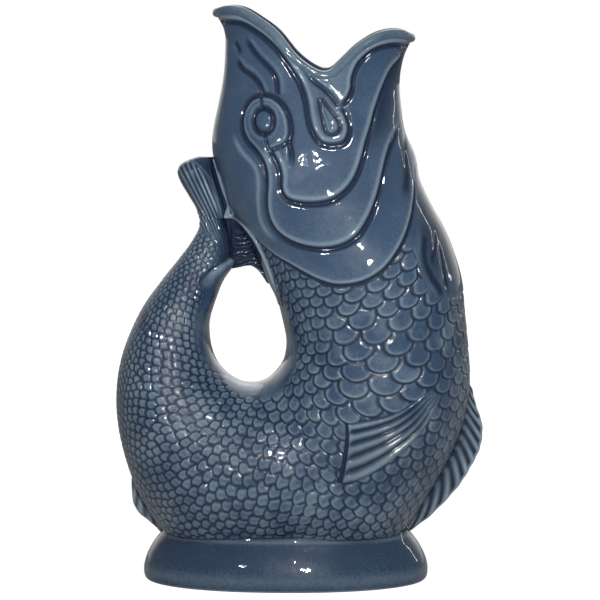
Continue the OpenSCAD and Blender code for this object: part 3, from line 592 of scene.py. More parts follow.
def scaleSize(t, c):  # width and length share at t steps, from the hole's side (c -1) to the outer edge (c 1)
    r = np.stack([np.interp(t, scales["steps"], column) for column in np.array(scales["size"]).T], -1)
    inward, outward = smoothStep(-c / 0.9), smoothStep(c / 0.9)
    return [r[..., k + 1] + (r[..., k] - r[..., k + 1]) * inward + (r[..., k + 2] - r[..., k + 1]) * outward
            for k in (0, 3)]


def packScales():  # an advancing front of centres on the near side
    found, keys = [], []
    t = -scales["top"]
    while t < scales["end"]:
        angle = math.pi + np.linspace(0.0, 1.0, scales["tries"]) * math.pi + rng.uniform(-0.004, 0.004)
        p = fishPoint(t, angle)
        ahead = fishPoint(t + 0.02, angle)
        width, long = scaleSize(np.full(len(angle), t), roundPair(angle)[0])
        flow = ahead - p
        pace = np.linalg.norm(flow, axis=1) / 0.02  # mm for each step
        flow /= np.linalg.norm(flow, axis=1, keepdims=True)
        squash = 0.866 / (0.5 * long)  # rows of a close packing, drawn out to the scale's length
        free = pace > 0
        if found:
            d = p[:, None] - np.array(found[-scales["lookBack"]:])[None]
            along = (d * flow[:, None]).sum(-1)
            across = np.sqrt(np.maximum(0, (d ** 2).sum(-1) - along ** 2))
            gap = np.sqrt(across ** 2 + (squash[:, None] * along) ** 2).min(1) / width
            free &= gap > scales["closest"]
        while free.any():
            k = int(np.argmax(free))
            found.append(p[k])
            keys.append((t, angle[k]))
            free &= np.linalg.norm(p - p[k], axis=1) / width > scales["closest"]
        t += scales["frontMm"] / max(pace.max(), 1)
    return keys


scaleKeys = packScales()
print("scales packed:", len(scaleKeys))


def layScale(layers, here, along, across, width, long):  # one scale over what is there, across in half widths
    height, poolAndShade, thinAndHighlight = (layer[here] for layer in layers)
    visible = long * width
    sag = width * (0.4 - 0.1 * min(1, max(0, (long - 1) / 0.5)))  # depth of the rounded free end
    reach = along - (0.5 * visible - sag)
    rho = np.where(reach > 0, np.hypot(across, reach / sag), np.abs(across))  # 1 on the scale's outline
    edge = (1 - rho) * width / 2
    grooveWidth = min(scales["grooveWidth"], scales["grooveShare"] * width)
    inside = (rho < 1) & (along > -1.1 * visible)
    outside = (rho >= 1) & (edge > -grooveWidth * 1.2) & (along > -0.6 * visible)
    lift = scales["high"] * width * smoothStep((along + 0.8 * visible) / (1.35 * visible))
    lift = lift * (1 - bell(np.maximum(edge, 0) / 0.55))
    dark = bell(edge / (grooveWidth * 0.8))
    under = 1 - smoothStep((along + 0.6 * visible) / (0.8 * visible))  # shade of the scale that lies over it
    small = min(1, max(0, (9 - width) / 5))
    rim = bell((edge - 1.5 * grooveWidth) / (0.8 * grooveWidth))
    height = np.where(inside, lift - scales["sunk"] * bell(edge / 0.45), height)
    poolAndShade = np.where(inside, 0.95 * bell(edge / (grooveWidth * 0.65)) + 0.12 * under, poolAndShade)
    thinAndHighlight = np.where(inside, 0.07 + 0.13 * small + (0.33 - 0.15 * small) * rim, thinAndHighlight)
    cut = -scales["groove"] * dark * min(1, width / 5)
    layers[0][here] = np.where(outside, np.minimum(height, cut), height)
    layers[1][here] = np.where(outside, np.maximum(poolAndShade, dark), poolAndShade)
    layers[2][here] = np.where(outside, thinAndHighlight * (1 - dark), thinAndHighlight)


def drawScales(p, steps, angles):  # height, pooled glaze with painted shade, and thin glaze, of the scales over a grid of points
    rows, cols = p.shape[:2]
    layers = [np.zeros((rows, cols)) for _ in range(3)]
    first, last = steps[0], steps[-1]
    tStep, aStep = steps[1] - steps[0], angles[1] - angles[0]
    for t, near in sorted(scaleKeys, reverse=True):
        for a in (near, 2 * math.pi - near):
            if not first - 1.2 < t < last + 1.2:
                continue
            width, long = (float(v) for v in scaleSize(np.array(t), roundPair(np.array(a))[0]))
            forward = fishPoint(t + 0.03, a) - fishPoint(t - 0.03, a)
            sideways = fishPoint(t, a + 0.01) - fishPoint(t, a - 0.01)
            tReach = (0.3 + 1.2 * long) * width * 0.06 / np.linalg.norm(forward)
            aReach = 0.75 * width * 0.02 / np.linalg.norm(sideways)
            i0, i1 = (int(math.floor((t + k * tReach - first) / tStep)) for k in (-1, 1))
            j0, j1 = (int(math.floor((a + k * aReach - angles[0]) / aStep)) for k in (-1, 1))
            i0, i1 = max(i0, 0), min(i1 + 2, rows)
            if i0 >= i1:
                continue
            forward /= np.linalg.norm(forward)
            sideways /= np.linalg.norm(sideways)
            here = np.ix_(np.arange(i0, i1), np.arange(j0, j1 + 2) % (cols - 1))
            d = p[here] - fishPoint(t, a)
            layScale(layers, here, d @ forward, (d @ sideways) / (width / 2 * 1.04), width, long)
    for layer in layers:
        layer[:, -1] = layer[:, 0]
    return layers


bare = {  # how far the smooth skin reaches from the hole's edge, as a share of half a turn
    "steps": (0, 1, 3, 9, 11, 12.5, 13.7, 14.2, 14.7, 15.3, 15.6, 15.93, 16.31, 16.62, 16.85, 17.0),
    "reach": (0.15, 0.18, 0.19, 0.15, 0.15, 0.22, 0.31, 0.33, 0.31, 0.3, 0.44, 0.42, 0.35, 0.28, 0.1, 0),
}


flukeRibs = {"from": (-17.6, 120.7), "stepDeg": 1.68, "startDeg": 109.3, "deep": 0.5,
             "bandZ": (158, 167.8, 176, 185, 191.5, 195), "bandX": (-35.5, -36.3, -38.2, -41, -46.2, -51)}


def flukeRib(x, z):  # 1 on a rib and 0 in a groove, how far the ribs show, and the line where they end
    sweep = np.degrees(np.arctan2(z - flukeRibs["from"][1], x - flukeRibs["from"][0])) - flukeRibs["startDeg"]
    ray = (0.5 - 0.5 * np.cos(2 * math.pi * sweep / flukeRibs["stepDeg"])) ** 0.8
    band = np.interp(z, flukeRibs["bandZ"], flukeRibs["bandX"])
    return ray, smoothStep((band - x) / 1.2), bell((x - band - 0.6) / 0.7)


skin = {
    "sunk": 0.42,  # mm that the skin between the scales lies inside the solid
    "seatGap": 0.3,
    "floor": 5.0,  # thickness over the foot
    "bareThin": 0.12,
    # painted shade over the inside wall of the body
    "insideShade": 0.35,
}


def bodyPiece(first, last, rows, cols, cavityLast):
    steps, angles = np.linspace(first, last, rows), np.linspace(0, 2 * math.pi, cols)
    t, angle = np.meshgrid(steps, angles, indexing="ij")
    p = fishPoint(t, angle)
    p[..., 2] = np.maximum(p[..., 2], saddleHeight(p[..., 0]) - skin["seatGap"])
    height, poolAndShade, thinAndHighlight = drawScales(p, steps, angles)
    away = np.abs(angle / math.pi - 1)  # 0 at the hole's edge, 1 at the outer edge
    band = np.interp(t, bare["steps"], bare["reach"])
    blend = 0.03 + 0.09 * smoothStep((t - 9) / 2) * smoothStep((15.5 - t) / 0.6)
    root = smoothStep((t - 16.1) / 0.8) * bell(away / 0.42, 6)  # painted shade where the web joins the tail
    smooth = np.maximum(smoothStep((band - away) / blend + 0.3), smoothStep((t - 17.3) / 1.0))
    smooth = np.maximum(smooth, 0.8 * root)
    height, poolAndShade = height * (1 - smooth), poolAndShade * (1 - smooth)
    thinAndHighlight = thinAndHighlight * (1 - smooth) + skin["bareThin"] * smooth
    crease = smoothStep((t - 15.3) / 0.3) * smoothStep((17.0 - t) / 0.4)  # painted shadow in the crease round the leaf
    poolAndShade = np.maximum(poolAndShade, 0.95 * crease * bell((away - band + 0.005) / 0.04))
    ray, grow, _ = flukeRib(p[..., 0], p[..., 2])
    grow = grow * smoothStep((t - 17.2) / 1.6)
    height = height - (1 - ray) * flukeRibs["deep"] * grow
    poolAndShade = np.maximum(poolAndShade, (1 - ray) ** 1.4 * grow * 0.9)
    thinAndHighlight = np.maximum(thinAndHighlight, 0.34 * ray * grow)
    # painted shade where the web joins darkens and dims the tail there
    poolAndShade, thinAndHighlight = np.maximum(poolAndShade, 0.62 * root), thinAndHighlight * (1 - 0.6 * root)
    p = p + gridNormals(p, (0, 1, 0), closed=True) * (height - skin["sunk"])[..., None]
    p[..., 2] = np.maximum(p[..., 2], saddleHeight(p[..., 0]) - skin["seatGap"])
    bm = gridMesh(p, {"poolAndShade": poolAndShade, "thinAndHighlight": thinAndHighlight}, closed=True, flip=True)
    t, angle = np.meshgrid(np.linspace(first, cavityLast, 26), np.linspace(0, 2 * math.pi, 61), indexing="ij")
    inner = fishPoint(t, angle, -body["wall"])
    inner[..., 2] = np.maximum(inner[..., 2], saddleHeight(inner[..., 0]) + skin["floor"])
    joinInto(bm, gridMesh(inner, {"poolAndShade": skin["insideShade"] + 0 * t}, closed=True))
    return bm


shellPieces = {  # first and last step, rows and columns of the skin, node, last step of the hollow
    "breastShell": (0, 5, 196, 441, "breast_shell", 5),
    "bellyShell": (5, 10, 236, 401, "belly_shell", 10),
    "tailShell": (10, 19, 292, 301, "tail_shell", 17),
}
for name, (first, last, rows, cols, node, cavityLast) in shellPieces.items():
    finishPiece(name, bodyPiece(first, last, rows, cols, cavityLast), node, [glazeBody])
    print("body piece:", name)


napeRim = {  # rolled rim from the head's crease over the web's corner to the hole's edge: x, z, radius
    "rows": [(-39.7, 194.6, 0.3), (-38, 189.6, 0.5), (-35.3, 181, 0.6), (-32.6, 173.6, 0.8),
             (-32.8, 170.6, 1.3), (-34.2, 167.9, 0.6), (-31.4, 168.6, 1.4), (-28.4, 167.2, 1.0),
             (-25.3, 165.4, 1.0), (-20.6, 160, 1.05), (-17.4, 154.4, 1.1), (-14.9, 148.6, 1.1),
             (-12.8, 143, 1.1), (-11.2, 138.2, 0.9), (-10.2, 134, 0.3)],
    "webSide": 5.5,
    "thinAndHighlight": 0.75,
    "evened": 12,  # times that its path is smoothed
}


def napeRimMesh():
    rows = curveShare(np.array(napeRim["rows"]), np.linspace(0, 1, 220))
    x, z, radius = rows.T
    side = headSide(np.maximum(x, headRow(z)[:, 0] + 0.3), z)[:, 1]
    path = np.stack([x, np.minimum(side, -napeRim["webSide"]), z], -1)
    for _ in range(napeRim["evened"]):
        path[1:-1, 1] = (path[:-2, 1] + path[2:, 1]) / 2
    run = np.gradient(path, axis=0)
    run /= np.linalg.norm(run, axis=1, keepdims=True)
    across = np.cross(run, np.array([0.0, 1.0, 0.0]))
    across /= np.linalg.norm(across, axis=1, keepdims=True)
    up = np.cross(run, across)
    w = np.linspace(0, 2 * math.pi, 17)[None, :, None]
    p = path[:, None] + radius[:, None, None] * (across[:, None] * np.cos(w) + up[:, None] * np.sin(w))
    bm = gridMesh(p, {"thinAndHighlight": np.full(p.shape[:2], napeRim["thinAndHighlight"])}, closed=True)
    faceOutward(bm)
    return bm


headNodes = {  # the pieces of each side of the head, the topmost first
    "pupil": "pupil", "eyeRing": "eye_ring", "browFold": "brow_fold", "lipFold": "lip_fold",
    "facePlate": "face_plate", "cheekPlate": "cheek_plate", "gillCover": "gill_cover",
}
headRegions = ["headShell"] + list(headNodes)
headSkinGrid = (290, 281)
headScaleSunk = 0.35  # mm that the scaly part of the head's skin lies in


def headGrid(rows, angles, lift=0.0):  # points from the seam to the rim, with height, share of it and angle
    share, angle = np.meshgrid(np.linspace(0, 1, rows), angles, indexing="ij")
    z = body["seam"] + (rimHeight(roundPair(angle)[0]) - body["seam"]) * share
    return headPoint(angle, z, lift), z, share, angle


def scalesOnHead(z, steps):  # the body's scales carried up to the gill line, read at the head's own places
    rows, cols = 150, z.shape[1]
    t = np.linspace(-scales["top"], 0, rows)
    angles = np.linspace(0, 2 * math.pi, cols * 2 - 1)
    drawn = drawScales(fishPoint(t[:, None], angles[None]), t, angles)
    row = np.clip((steps + scales["top"]) / scales["top"] * (rows - 1), 0, rows - 1.001)
    low = row.astype(int)
    high = np.minimum(low + 1, rows - 1)
    col = np.broadcast_to(np.arange(cols)[None] + cols - 1, row.shape)
    return [grid[low, col] * (1 - (row - low)) + grid[high, col] * (row - low) for grid in drawn]


def headRegion(x, z):  # which of the head's pieces each place belongs to
    (cx, cz), (wide, tall) = eye["centre"], eye["pupil"]
    oval = [(cx + wide * 1.12 * math.cos(a), cz + tall * 1.12 * math.sin(a))
            for a in np.linspace(0, 2 * math.pi, 40)]
    outlines = {
        "pupil": [oval],
        "eyeRing": [eyeLine],
        "browFold": [smoothLine(browLow), smoothLine(browHigh)[::-1]],
        "lipFold": [smoothLine(lipLine), smoothLine(lipLineFront), [(60, 246), (60, 275), (-50, 275)]],
        "facePlate": [smoothLine(cheekLine), [(58, 246), (58, 275), (-50, 275), (-50, 232), (-24, 222)]],
        "cheekPlate": [smoothLine(plateLine), [(47.5, 246), (-12, 214)]],
        "gillCover": [smoothLine(gillLine), [(47.5, 240), (-30, 220), (-48, 190)]],
    }
    region = np.zeros(x.shape, int)
    for name, parts in outlines.items():
        inside = isInside(x, z, np.concatenate(parts))
        if name == "eyeRing":
            inside &= z > 199
        region = np.where((region == 0) & inside, headRegions.index(name), region)
    return region


def headSkin():  # the whole near side of the head, each face marked with its region
    rows, cols = headSkinGrid
    p, z, share, angle = headGrid(rows, np.linspace(math.pi, 2 * math.pi, cols))
    flat = p.reshape(-1, 3)
    height, poolAndShade, thinAndHighlight = carveHead(p)
    steps = -(z - body["seam"]) / body["headStep"]
    below = -signedDistance(flat, smoothLine(gillLine), (10, 170))[0].reshape(z.shape)
    scaly = smoothStep((below - 0.8) / 0.6) * smoothStep((steps + scales["top"]) / 0.5)
    scaly = scaly * ((p[..., 0] > 0) | (z < 160))
    ridge, side, _, _ = lineDistance(flat, smoothLine(napeLine))
    behind = smoothStep((-(ridge * side).reshape(z.shape) - 0.6) / 0.8) * (z < 168) * (p[..., 0] < 0)
    folds = np.interp(p[..., 0], (40, 48, 54, 60), (176, 168, 152, 134))  # the throat above has no scales
    scaly = scaly * (1 - behind) * smoothStep((folds - z) / 3)
    scaleHeight, scalePool, scaleThin = scalesOnHead(z, steps)
    height += scaly * scaleHeight
    # the strip behind the nape ridge is painted in shade
    poolAndShade = np.maximum(np.maximum(poolAndShade, behind * 0.85), scaly * scalePool)
    thinAndHighlight = np.maximum(thinAndHighlight, scaly * scaleThin)
    d = signedDistance(flat, smoothLine(cheekLine), (10, 195))[0]  # painted shade: a dark band in the trough in front of the face plate
    beside = bell(d / 9) * smoothStep((flat[:, 2] - 190) / 25) * (flat[:, 0] > 0) * (d < 0)
    poolAndShade = np.maximum(poolAndShade, (0.8 * beside).reshape(z.shape))
    # painted shade down the right side of the throat
    throat = smoothStep((p[..., 0] - 53) / 4) * smoothStep((z - 138) / 14) * smoothStep((225 - z) / 20)
    poolAndShade = np.maximum(poolAndShade, 0.55 * throat)
    shift = height - headScaleSunk * (scaly > 0)
    keep = np.abs(np.sin(angle)) ** 0.35  # relief dies away towards the outline, where the halves meet
    shift = np.where(shift > 0, shift * (0.35 + 0.65 * keep), shift) * smoothStep((1 - share) / 0.02)
    q = p + gridNormals(p, (0, -1, 0)) * shift[..., None]
    q[:, 0, 1] = q[:, -1, 1] = 0
    region = headRegion(q[..., 0], z)
    thinAndHighlight = np.where(region == headRegions.index("lipFold"), np.maximum(thinAndHighlight, 0.16), thinAndHighlight)
    n = gridNormals(q, (0, -1, 0))
    n[:, 0, 1] = n[:, -1, 1] = 0
    bm = gridMesh(q, {"poolAndShade": poolAndShade, "thinAndHighlight": thinAndHighlight, "nx": n[..., 0], "ny": n[..., 1], "nz": n[..., 2]})
    mark = bm.faces.layers.int.new("region")
    bm.verts.index_update()
    regions = region.tolist()
    for f in bm.faces:
        corner = min(v.index for v in f.verts)
        f[mark] = regions[corner % rows][corner // rows]
    turnTowards(bm, (0, -1, 0))
    return bm


def withMirror(bm):
    mirror = bm.copy()
    mirrorAcross(mirror)
    joinInto(bm, mirror)
    return bm


whole = headSkin()
for k, name in enumerate(headRegions):
    part = whole.copy()
    layer = part.faces.layers.int["region"]
    bmesh.ops.delete(part, geom=[f for f in part.faces if f[layer] != k], context="FACES")
    if name == "headShell":
        withMirror(part)
        bmesh.ops.remove_doubles(part, verts=[v for v in part.verts if abs(v.co.y) < 1e-5], dist=1e-6)
        inside, z, _, _ = headGrid(40, np.linspace(0, 2 * math.pi, 97), -body["wall"])
        # the inside of the head is painted in shade
        joinInto(part, gridMesh(inside, {"poolAndShade": 0.85 + 0 * z}, closed=True, flip=True))
        joinInto(part, withMirror(napeRimMesh()))
        finishPiece(name, part, "head_shell", [glazeHead])
        continue
    other = part.copy()
    finishPiece(name + "Right", part, headNodes[name] + "_right", [glazeHead])
    finishPiece(name + "Left", other, headNodes[name] + "_left", [glazeHead], mirrored=True)
print("head carved")


def beadPiece():
    angles = np.linspace(0, 2 * math.pi, 541)
    c = roundPair(angles)[0]
    outer = headPoint(angles, rimHeight(c))
    inner = headPoint(angles, rimHeight(c), -body["wall"])
    mid, out = (outer + inner) / 2, (outer - inner) / 2
    wide = np.concatenate([outer[-2:-1], outer, outer[1:2]])
    up = np.cross(out, wide[2:] - wide[:-2])
    up /= np.linalg.norm(up, axis=1, keepdims=True)
    outUnit = out / np.linalg.norm(out, axis=1, keepdims=True)
    a = np.linspace(-1.2, math.pi + 0.25, 23)[:, None, None]  # from under the roll over the top to the inside
    p = (mid[None] + out[None] * np.cos(a) * 1.02 + up[None] * head["bead"] * 0.98 * np.sin(a)
         + outUnit[None] * head["roll"] * smoothStep((np.cos(a) + 0.1) / 0.9))
    thinAndHighlight = np.broadcast_to(0.12 + 0.4 * np.sin(np.clip(a[..., 0], 0, math.pi)) ** 3, p.shape[:2])
    poolAndShade = np.broadcast_to(0.75 * smoothStep((a[..., 0] - 1.8) / 0.9), p.shape[:2])  # shaded inside
    bm = gridMesh(p, {"poolAndShade": poolAndShade, "thinAndHighlight": thinAndHighlight}, closed=True)
    bmesh.ops.recalc_face_normals(bm, faces=bm.faces)
    return bm


finishPiece("lipBead", beadPiece(), "lip_bead", [glazeEdge])
print("lip bead")


# Foot

foot = {
    "length": 132.0, "depth": 86.0, "collarLength": 113.4, "collarDepth": 73.0, "centre": -6.6, "wall": 7.0,
    "profile": [  # share of the height, and how far the foot has flared there
        (0.0, 0.86), (0.03, 0.93), (0.09, 0.985), (0.2, 1.0), (0.32, 0.955), (0.45, 0.85), (0.6, 0.67),
        (0.74, 0.45), (0.86, 0.22), (0.94, 0.09), (1.0, 0.02),
    ],
    "seatOver": 0.6,  # the collar runs this far into the belly
    "bareMm": 0.6,  # height up to which the standing ring has no glaze
}


def footRings(rows, inset):
    c, s = roundPair(np.linspace(0, 2 * math.pi, 361))
    overLength = (foot["length"] - foot["collarLength"]) / 2
    overDepth = (foot["depth"] - foot["collarDepth"]) / 2
    made = []
    for high, flare in rows:
        x = foot["centre"] + (foot["collarLength"] / 2 + overLength * flare - inset) * c
        y = (foot["collarDepth"] / 2 + overDepth * flare - inset) * s
        made.append(np.stack([x, y, high * (saddleHeight(x) + foot["seatOver"])], -1))
    return np.array(made)


def footPiece():
    profile = curveShare(np.array(foot["profile"]), np.linspace(0, 1, 90))
    back = np.array(foot["profile"])[::-1]
    p = np.concatenate([footRings(profile, 0), footRings(back, foot["wall"])])
    highs = np.concatenate([profile[:, 0], back[:, 0] * 0])[:, None]
    # painted shade in the joint under the belly, the upper half a little darker; a painted highlight on the
    # collar's top bead
    poolAndShade = 0.9 * smoothStep((highs - 0.965) / 0.03) + 0.15 * smoothStep((highs - 0.45) / 0.4)
    thinAndHighlight = 0.2 * bell((highs - 0.2) / 0.14) + 0.3 * bell((highs - 0.92) / 0.035)
    thinAndHighlight = thinAndHighlight + 0.5 * bell((highs - 0.015) / 0.02)
    p, poolAndShade, thinAndHighlight = (np.concatenate([grid, grid[:1]]) for grid in (p, poolAndShade, thinAndHighlight))
    marks = {"poolAndShade": np.broadcast_to(poolAndShade, p.shape[:2]), "thinAndHighlight": np.broadcast_to(thinAndHighlight, p.shape[:2])}
    bm = gridMesh(p, marks, closed=True)
    bmesh.ops.remove_doubles(bm, verts=bm.verts, dist=1e-6)
    faceOutward(bm)
    for f in bm.faces:
        if f.normal.z < -0.9 and f.calc_center_median().z < foot["bareMm"] / 1000:
            f.material_index = 1
    return bm


finishPiece("foot", footPiece(), "foot", [glazeFoot, bisque])
print("foot turned")


# Fins

pectoral = {  # top and lowest ray by step and place along the section
    "top": [(1.95, 0.58), (2.43, 0.4), (2.89, 0.22), (3.31, 0.03), (3.83, -0.17)],
    "low": [(2.15, 0.68), (2.75, 0.62), (3.45, 0.54), (4.3, 0.385), (5.12, 0.12)],
    "rays": 5, "high": 1.7, "grooved": 1.15,
    "sunk": 0.6,  # its rim lies this far inside the wall
}


def pectoralPiece():
    u = np.linspace(0, 1, 150)[:, None]  # from the root to the free edge
    v = np.linspace(0, 1, 121)[None]  # from the top ray to the lowest
    top = curveShare(np.array(pectoral["top"]), u[:, 0])[:, None]
    low = curveShare(np.array(pectoral["low"]), u[:, 0])[:, None]
    place = top + (low - top) * v[..., None]
    t, c = place[..., 0], place[..., 1]
    p = bodyAt(t, c, -bulge(c))
    phase = (0.5 - 0.5 * np.cos(2 * math.pi * (v * pectoral["rays"] - 0.02))) ** 0.6
    grow = smoothStep(u / 0.35) * smoothStep((0.945 - u) / 0.03)
    side = fadeEnds(v, 1, 0.05, 0.05) * smoothStep(u / 0.06)
    rim = side * smoothStep((0.965 - u) / 0.02)
    moat = side * smoothStep((u - 0.95) / 0.01) * smoothStep((1 - u) / 0.012)
    high = pectoral["high"] * (0.45 + 0.55 * smoothStep(u / 0.8))
    lift = rim * (high - (1 - phase) * pectoral["grooved"] * grow) + moat * 0.25
    lift = lift - pectoral["sunk"] * (1 - np.maximum(rim, moat))
    # painted shadow under the raised free edge, and painted shade where the fin's sides meet the body
    poolAndShade = np.maximum((1 - phase) ** 0.9 * grow * rim, 1 - smoothStep((0.96 - u) / 0.02))
    poolAndShade = np.maximum(poolAndShade, (1 - side) * 0.9)
    thinAndHighlight = (0.08 + 0.5 * phase * smoothStep((u - 0.3) / 0.6)) * rim
    p = p + gridNormals(p, (0, -1, 0)) * lift[..., None]
    bm = gridMesh(p, {"poolAndShade": poolAndShade + 0 * u, "thinAndHighlight": thinAndHighlight + 0 * u})
    turnTowards(bm, (0, -1, 0))
    return bm


for where in ("right", "left"):
    finishPiece("pectoralFin" + where.capitalize(), pectoralPiece(), "pectoral_fin_" + where,
                [glazeBody], mirrored=where == "left")

keels = {  # the two fins that stand on the fish's outline
    "bellyFin": {"node": "belly_fin", "heights": (0.09, 0.35, 0.8, 1, 0.99, 0.92, 0.62, 0.2),
                 "span": (2, 4.88), "full": 11.4, "rays": 12, "slant": -0.17, "cells": 300, "pale": 0.15},
    "ventFin": {"node": "vent_fin", "heights": (0.1, 0.38, 0.5, 0.82, 0.98, 0.6, 0.06),
                "span": (9.02, 10.42), "full": 5.9, "rays": 5, "slant": 0.16, "cells": 140, "pale": 0.6},
}
keelThick = 3.6  # half the thickness at the root
keelTaper = 0.42  # share of it lost towards the free edge
keelGroove = 1.1


def keelPiece(k):
    u = np.linspace(0, 1, k["cells"])[:, None]  # along the outline
    w = np.linspace(0, math.pi, 41)[None]  # from one side over the free edge to the other
    full = k["full"] * curveShare(np.array(k["heights"])[:, None], u[:, 0])
    r = bodyRow(k["span"][0] + (k["span"][1] - k["span"][0]) * u[:, 0])
    outer, inner = r[:, [0, 1]], r[:, [2, 3]]
    out = (outer - inner) / np.linalg.norm(outer - inner, axis=1, keepdims=True)
    high = np.sin(w) ** 0.55
    thick = keelThick * np.sign(np.cos(w)) * np.abs(np.cos(w)) ** 0.8 * (1 - keelTaper * high)
    ray = (0.5 - 0.5 * np.cos(2 * math.pi * (u * k["rays"] + k["slant"] * k["rays"] * high))) ** 0.7
    ends = fadeEnds(u, 1, 0.03, 0.03)
    reach = (full * (high - 0.02) - 1.2 * (1 - high)) * (0.3 + 0.7 * ends) - (1 - ray) * 0.2 * high
    x = outer[:, 0:1] + out[:, 0:1] * reach
    z = outer[:, 1:2] + out[:, 1:2] * reach
    y = thick - np.sign(thick) * (1 - ray) * np.minimum(keelGroove, np.abs(thick)) * (0.3 + 0.7 * high)
    free = smoothStep((high - 0.86) / 0.1)
    # painted shade at the root where the fin meets the body
    poolAndShade = (1.15 - 0.7 * k["pale"]) * (1 - ray) ** 0.8 + 0.8 * (1 - smoothStep(high / 0.4))
    # painted reflection makes the free edge pale; the pale share lifts the whole fin, on the vent fin a
    # painted reflection of the floor
    thinAndHighlight = np.maximum(k["pale"] + 0.75 * ray * high, 0.85 * free)
    bm = gridMesh(np.stack([x, y, z], -1), {"poolAndShade": np.clip(poolAndShade * (1 - 0.9 * free), 0, 1), "thinAndHighlight": thinAndHighlight})
    faceOutward(bm)
    return bm


for name, k in keels.items():
    finishPiece(name, keelPiece(k), k["node"], [glazeEdge])

fluke = {
    "rows": [  # outer x, z, inner x, z and half depth, from the root to the top
        (-48, 172, -34.3, 170.2, 9.6), (-51.2, 177.4, -35.9, 174.8, 9.6), (-55, 183.9, -38.1, 181, 10),
        (-56.4, 188.7, -39.9, 186.4, 10.4), (-54.8, 192, -40.8, 190.2, 9.1),
        (-50.8, 194.2, -40.5, 192.4, 6.3), (-47, 195.4, -41.2, 195, 2.4),
    ],
}


def flukePiece():
    rows = np.vstack([bodyRow(np.array(19.0)), fluke["rows"]])
    middle = (rows[-1, :2] + rows[-1, 2:4]) / 2
    tip = np.concatenate([middle, middle, [0.1]]) + np.array([0, 0.2, 0, 0.2, 0])
    u = np.linspace(0, 1, 130)[:, None]
    c, s = roundPair(np.linspace(0, 2 * math.pi, 289)[None])
    r = curveShare(np.vstack([rows, tip]), u[:, 0])
    x = (r[:, 0:1] + r[:, 2:3]) / 2 + (r[:, 0:1] - r[:, 2:3]) / 2 * c
    z = (r[:, 1:2] + r[:, 3:4]) / 2 + (r[:, 1:2] - r[:, 3:4]) / 2 * c
    ray, grow, line = flukeRib(x, z)
    grow = grow * smoothStep((0.985 - u) / 0.05)
    y = r[:, 4:5] * s
    y = y - np.sign(s) * (1 - ray) * flukeRibs["deep"] * grow * np.minimum(1, np.abs(y) / 2)
    poolAndShade = np.maximum((1 - ray) ** 1.1 * grow, 0.6 * (1 - grow) * smoothStep((c + 0.97) / 0.1))
    paintedSheen = bell((x + 42 + 0.5 * (z - 181)) / 1.8) * bell((z - 180) / 7)  # a painted highlight, a pale cloud on the ribs
    thinAndHighlight = 0.32 * ray * grow + 0.3 * bell((c + 0.93) / 0.06) + 0.25 * line + 1.1 * paintedSheen * ray
    marks = {"poolAndShade": poolAndShade * (1 - line * 0.8), "thinAndHighlight": thinAndHighlight + 0 * poolAndShade}
    bm = gridMesh(np.stack([x, y, z], -1), marks, closed=True)
    faceOutward(bm)
    return bm


finishPiece("tailFin", flukePiece(), "tail_fin", [glazeBody])

dorsal = {
    "rows": [  # nape x, z and far x, z, from the fluke's top down to the finger hole
        (-40.2, 195.2, -40.6, 195.2), (-39.3, 192.3, -39.8, 192.3), (-38.5, 190.2, -40.1, 190.2),
        (-37.2, 186.4, -39.2, 186.4), (-35.5, 181, -37.4, 181), (-33.4, 174.8, -35.2, 174.8),
        (-31.3, 170.2, -33.6, 170.2), (-29.6, 167, -33.8, 167), (-27.1, 162.2, -32.2, 161.7),
        (-24.3, 157.4, -31, 155.7),
        (-22.1, 153.7, -31, 151), (-20.6, 151.1, -32, 147.4), (-19.5, 148.6, -30.8, 143.9),
        (-18.7, 146.9, -27.2, 144.9), (-17.9, 145, -23.6, 145.5), (-16.6, 141.8, -19.4, 143.1),
        (-14.1, 136.3, -15.4, 137.4),
    ],
    "from": (-31.5, 149.5), "stepDeg": 11.5, "thick": 5.4, "taper": 0.12, "grooved": 0.75,
    "inHead": 3.0, "inTail": 1.8,
}


def dorsalPiece():
    u = np.linspace(0, 1, 240)[:, None]  # down the web
    w = np.linspace(0, 2 * math.pi, 41)[None]
    r = curveShare(np.array(dorsal["rows"]), u[:, 0])
    c, s = (np.sign(v) * np.abs(v) ** 0.6 for v in (np.cos(w), np.sin(w)))
    nape = r[:, 0:1] + dorsal["inHead"]
    far = r[:, 2:3] - dorsal["inTail"] * smoothStep((0.8 - u) / 0.06)
    x = (nape + far) / 2 + (far - nape) / 2 * c
    z = (r[:, 1:2] + r[:, 3:4]) / 2 + (r[:, 3:4] - r[:, 1:2]) / 2 * c
    sweep = np.degrees(np.arctan2(z - dorsal["from"][1], x - dorsal["from"][0]))
    ray = (0.5 - 0.5 * np.cos(2 * math.pi * sweep / dorsal["stepDeg"])) ** 0.8
    y = s * (dorsal["thick"] * (1 - dorsal["taper"] * (1 + c)) - (1 - ray) * dorsal["grooved"])
    # painted shade over the whole web, deepest in the grooves between the ribs
    poolAndShade = 0.72 + 0.28 * (1 - ray) ** 1.3
    paintedEdgeLight = smoothStep((u - 0.72) / 0.08) * smoothStep((c - 0.1) / 0.5)  # painted highlight along the free edge over the hole
    bm = gridMesh(np.stack([x, y, z], -1), {"poolAndShade": poolAndShade * (1 - 0.8 * paintedEdgeLight), "thinAndHighlight": 0.1 * ray + 0.6 * paintedEdgeLight},
                  closed=True)
    faceOutward(bm)
    return bm


finishPiece("dorsalFin", dorsalPiece(), "dorsal_fin", [glazeShadedWeb])

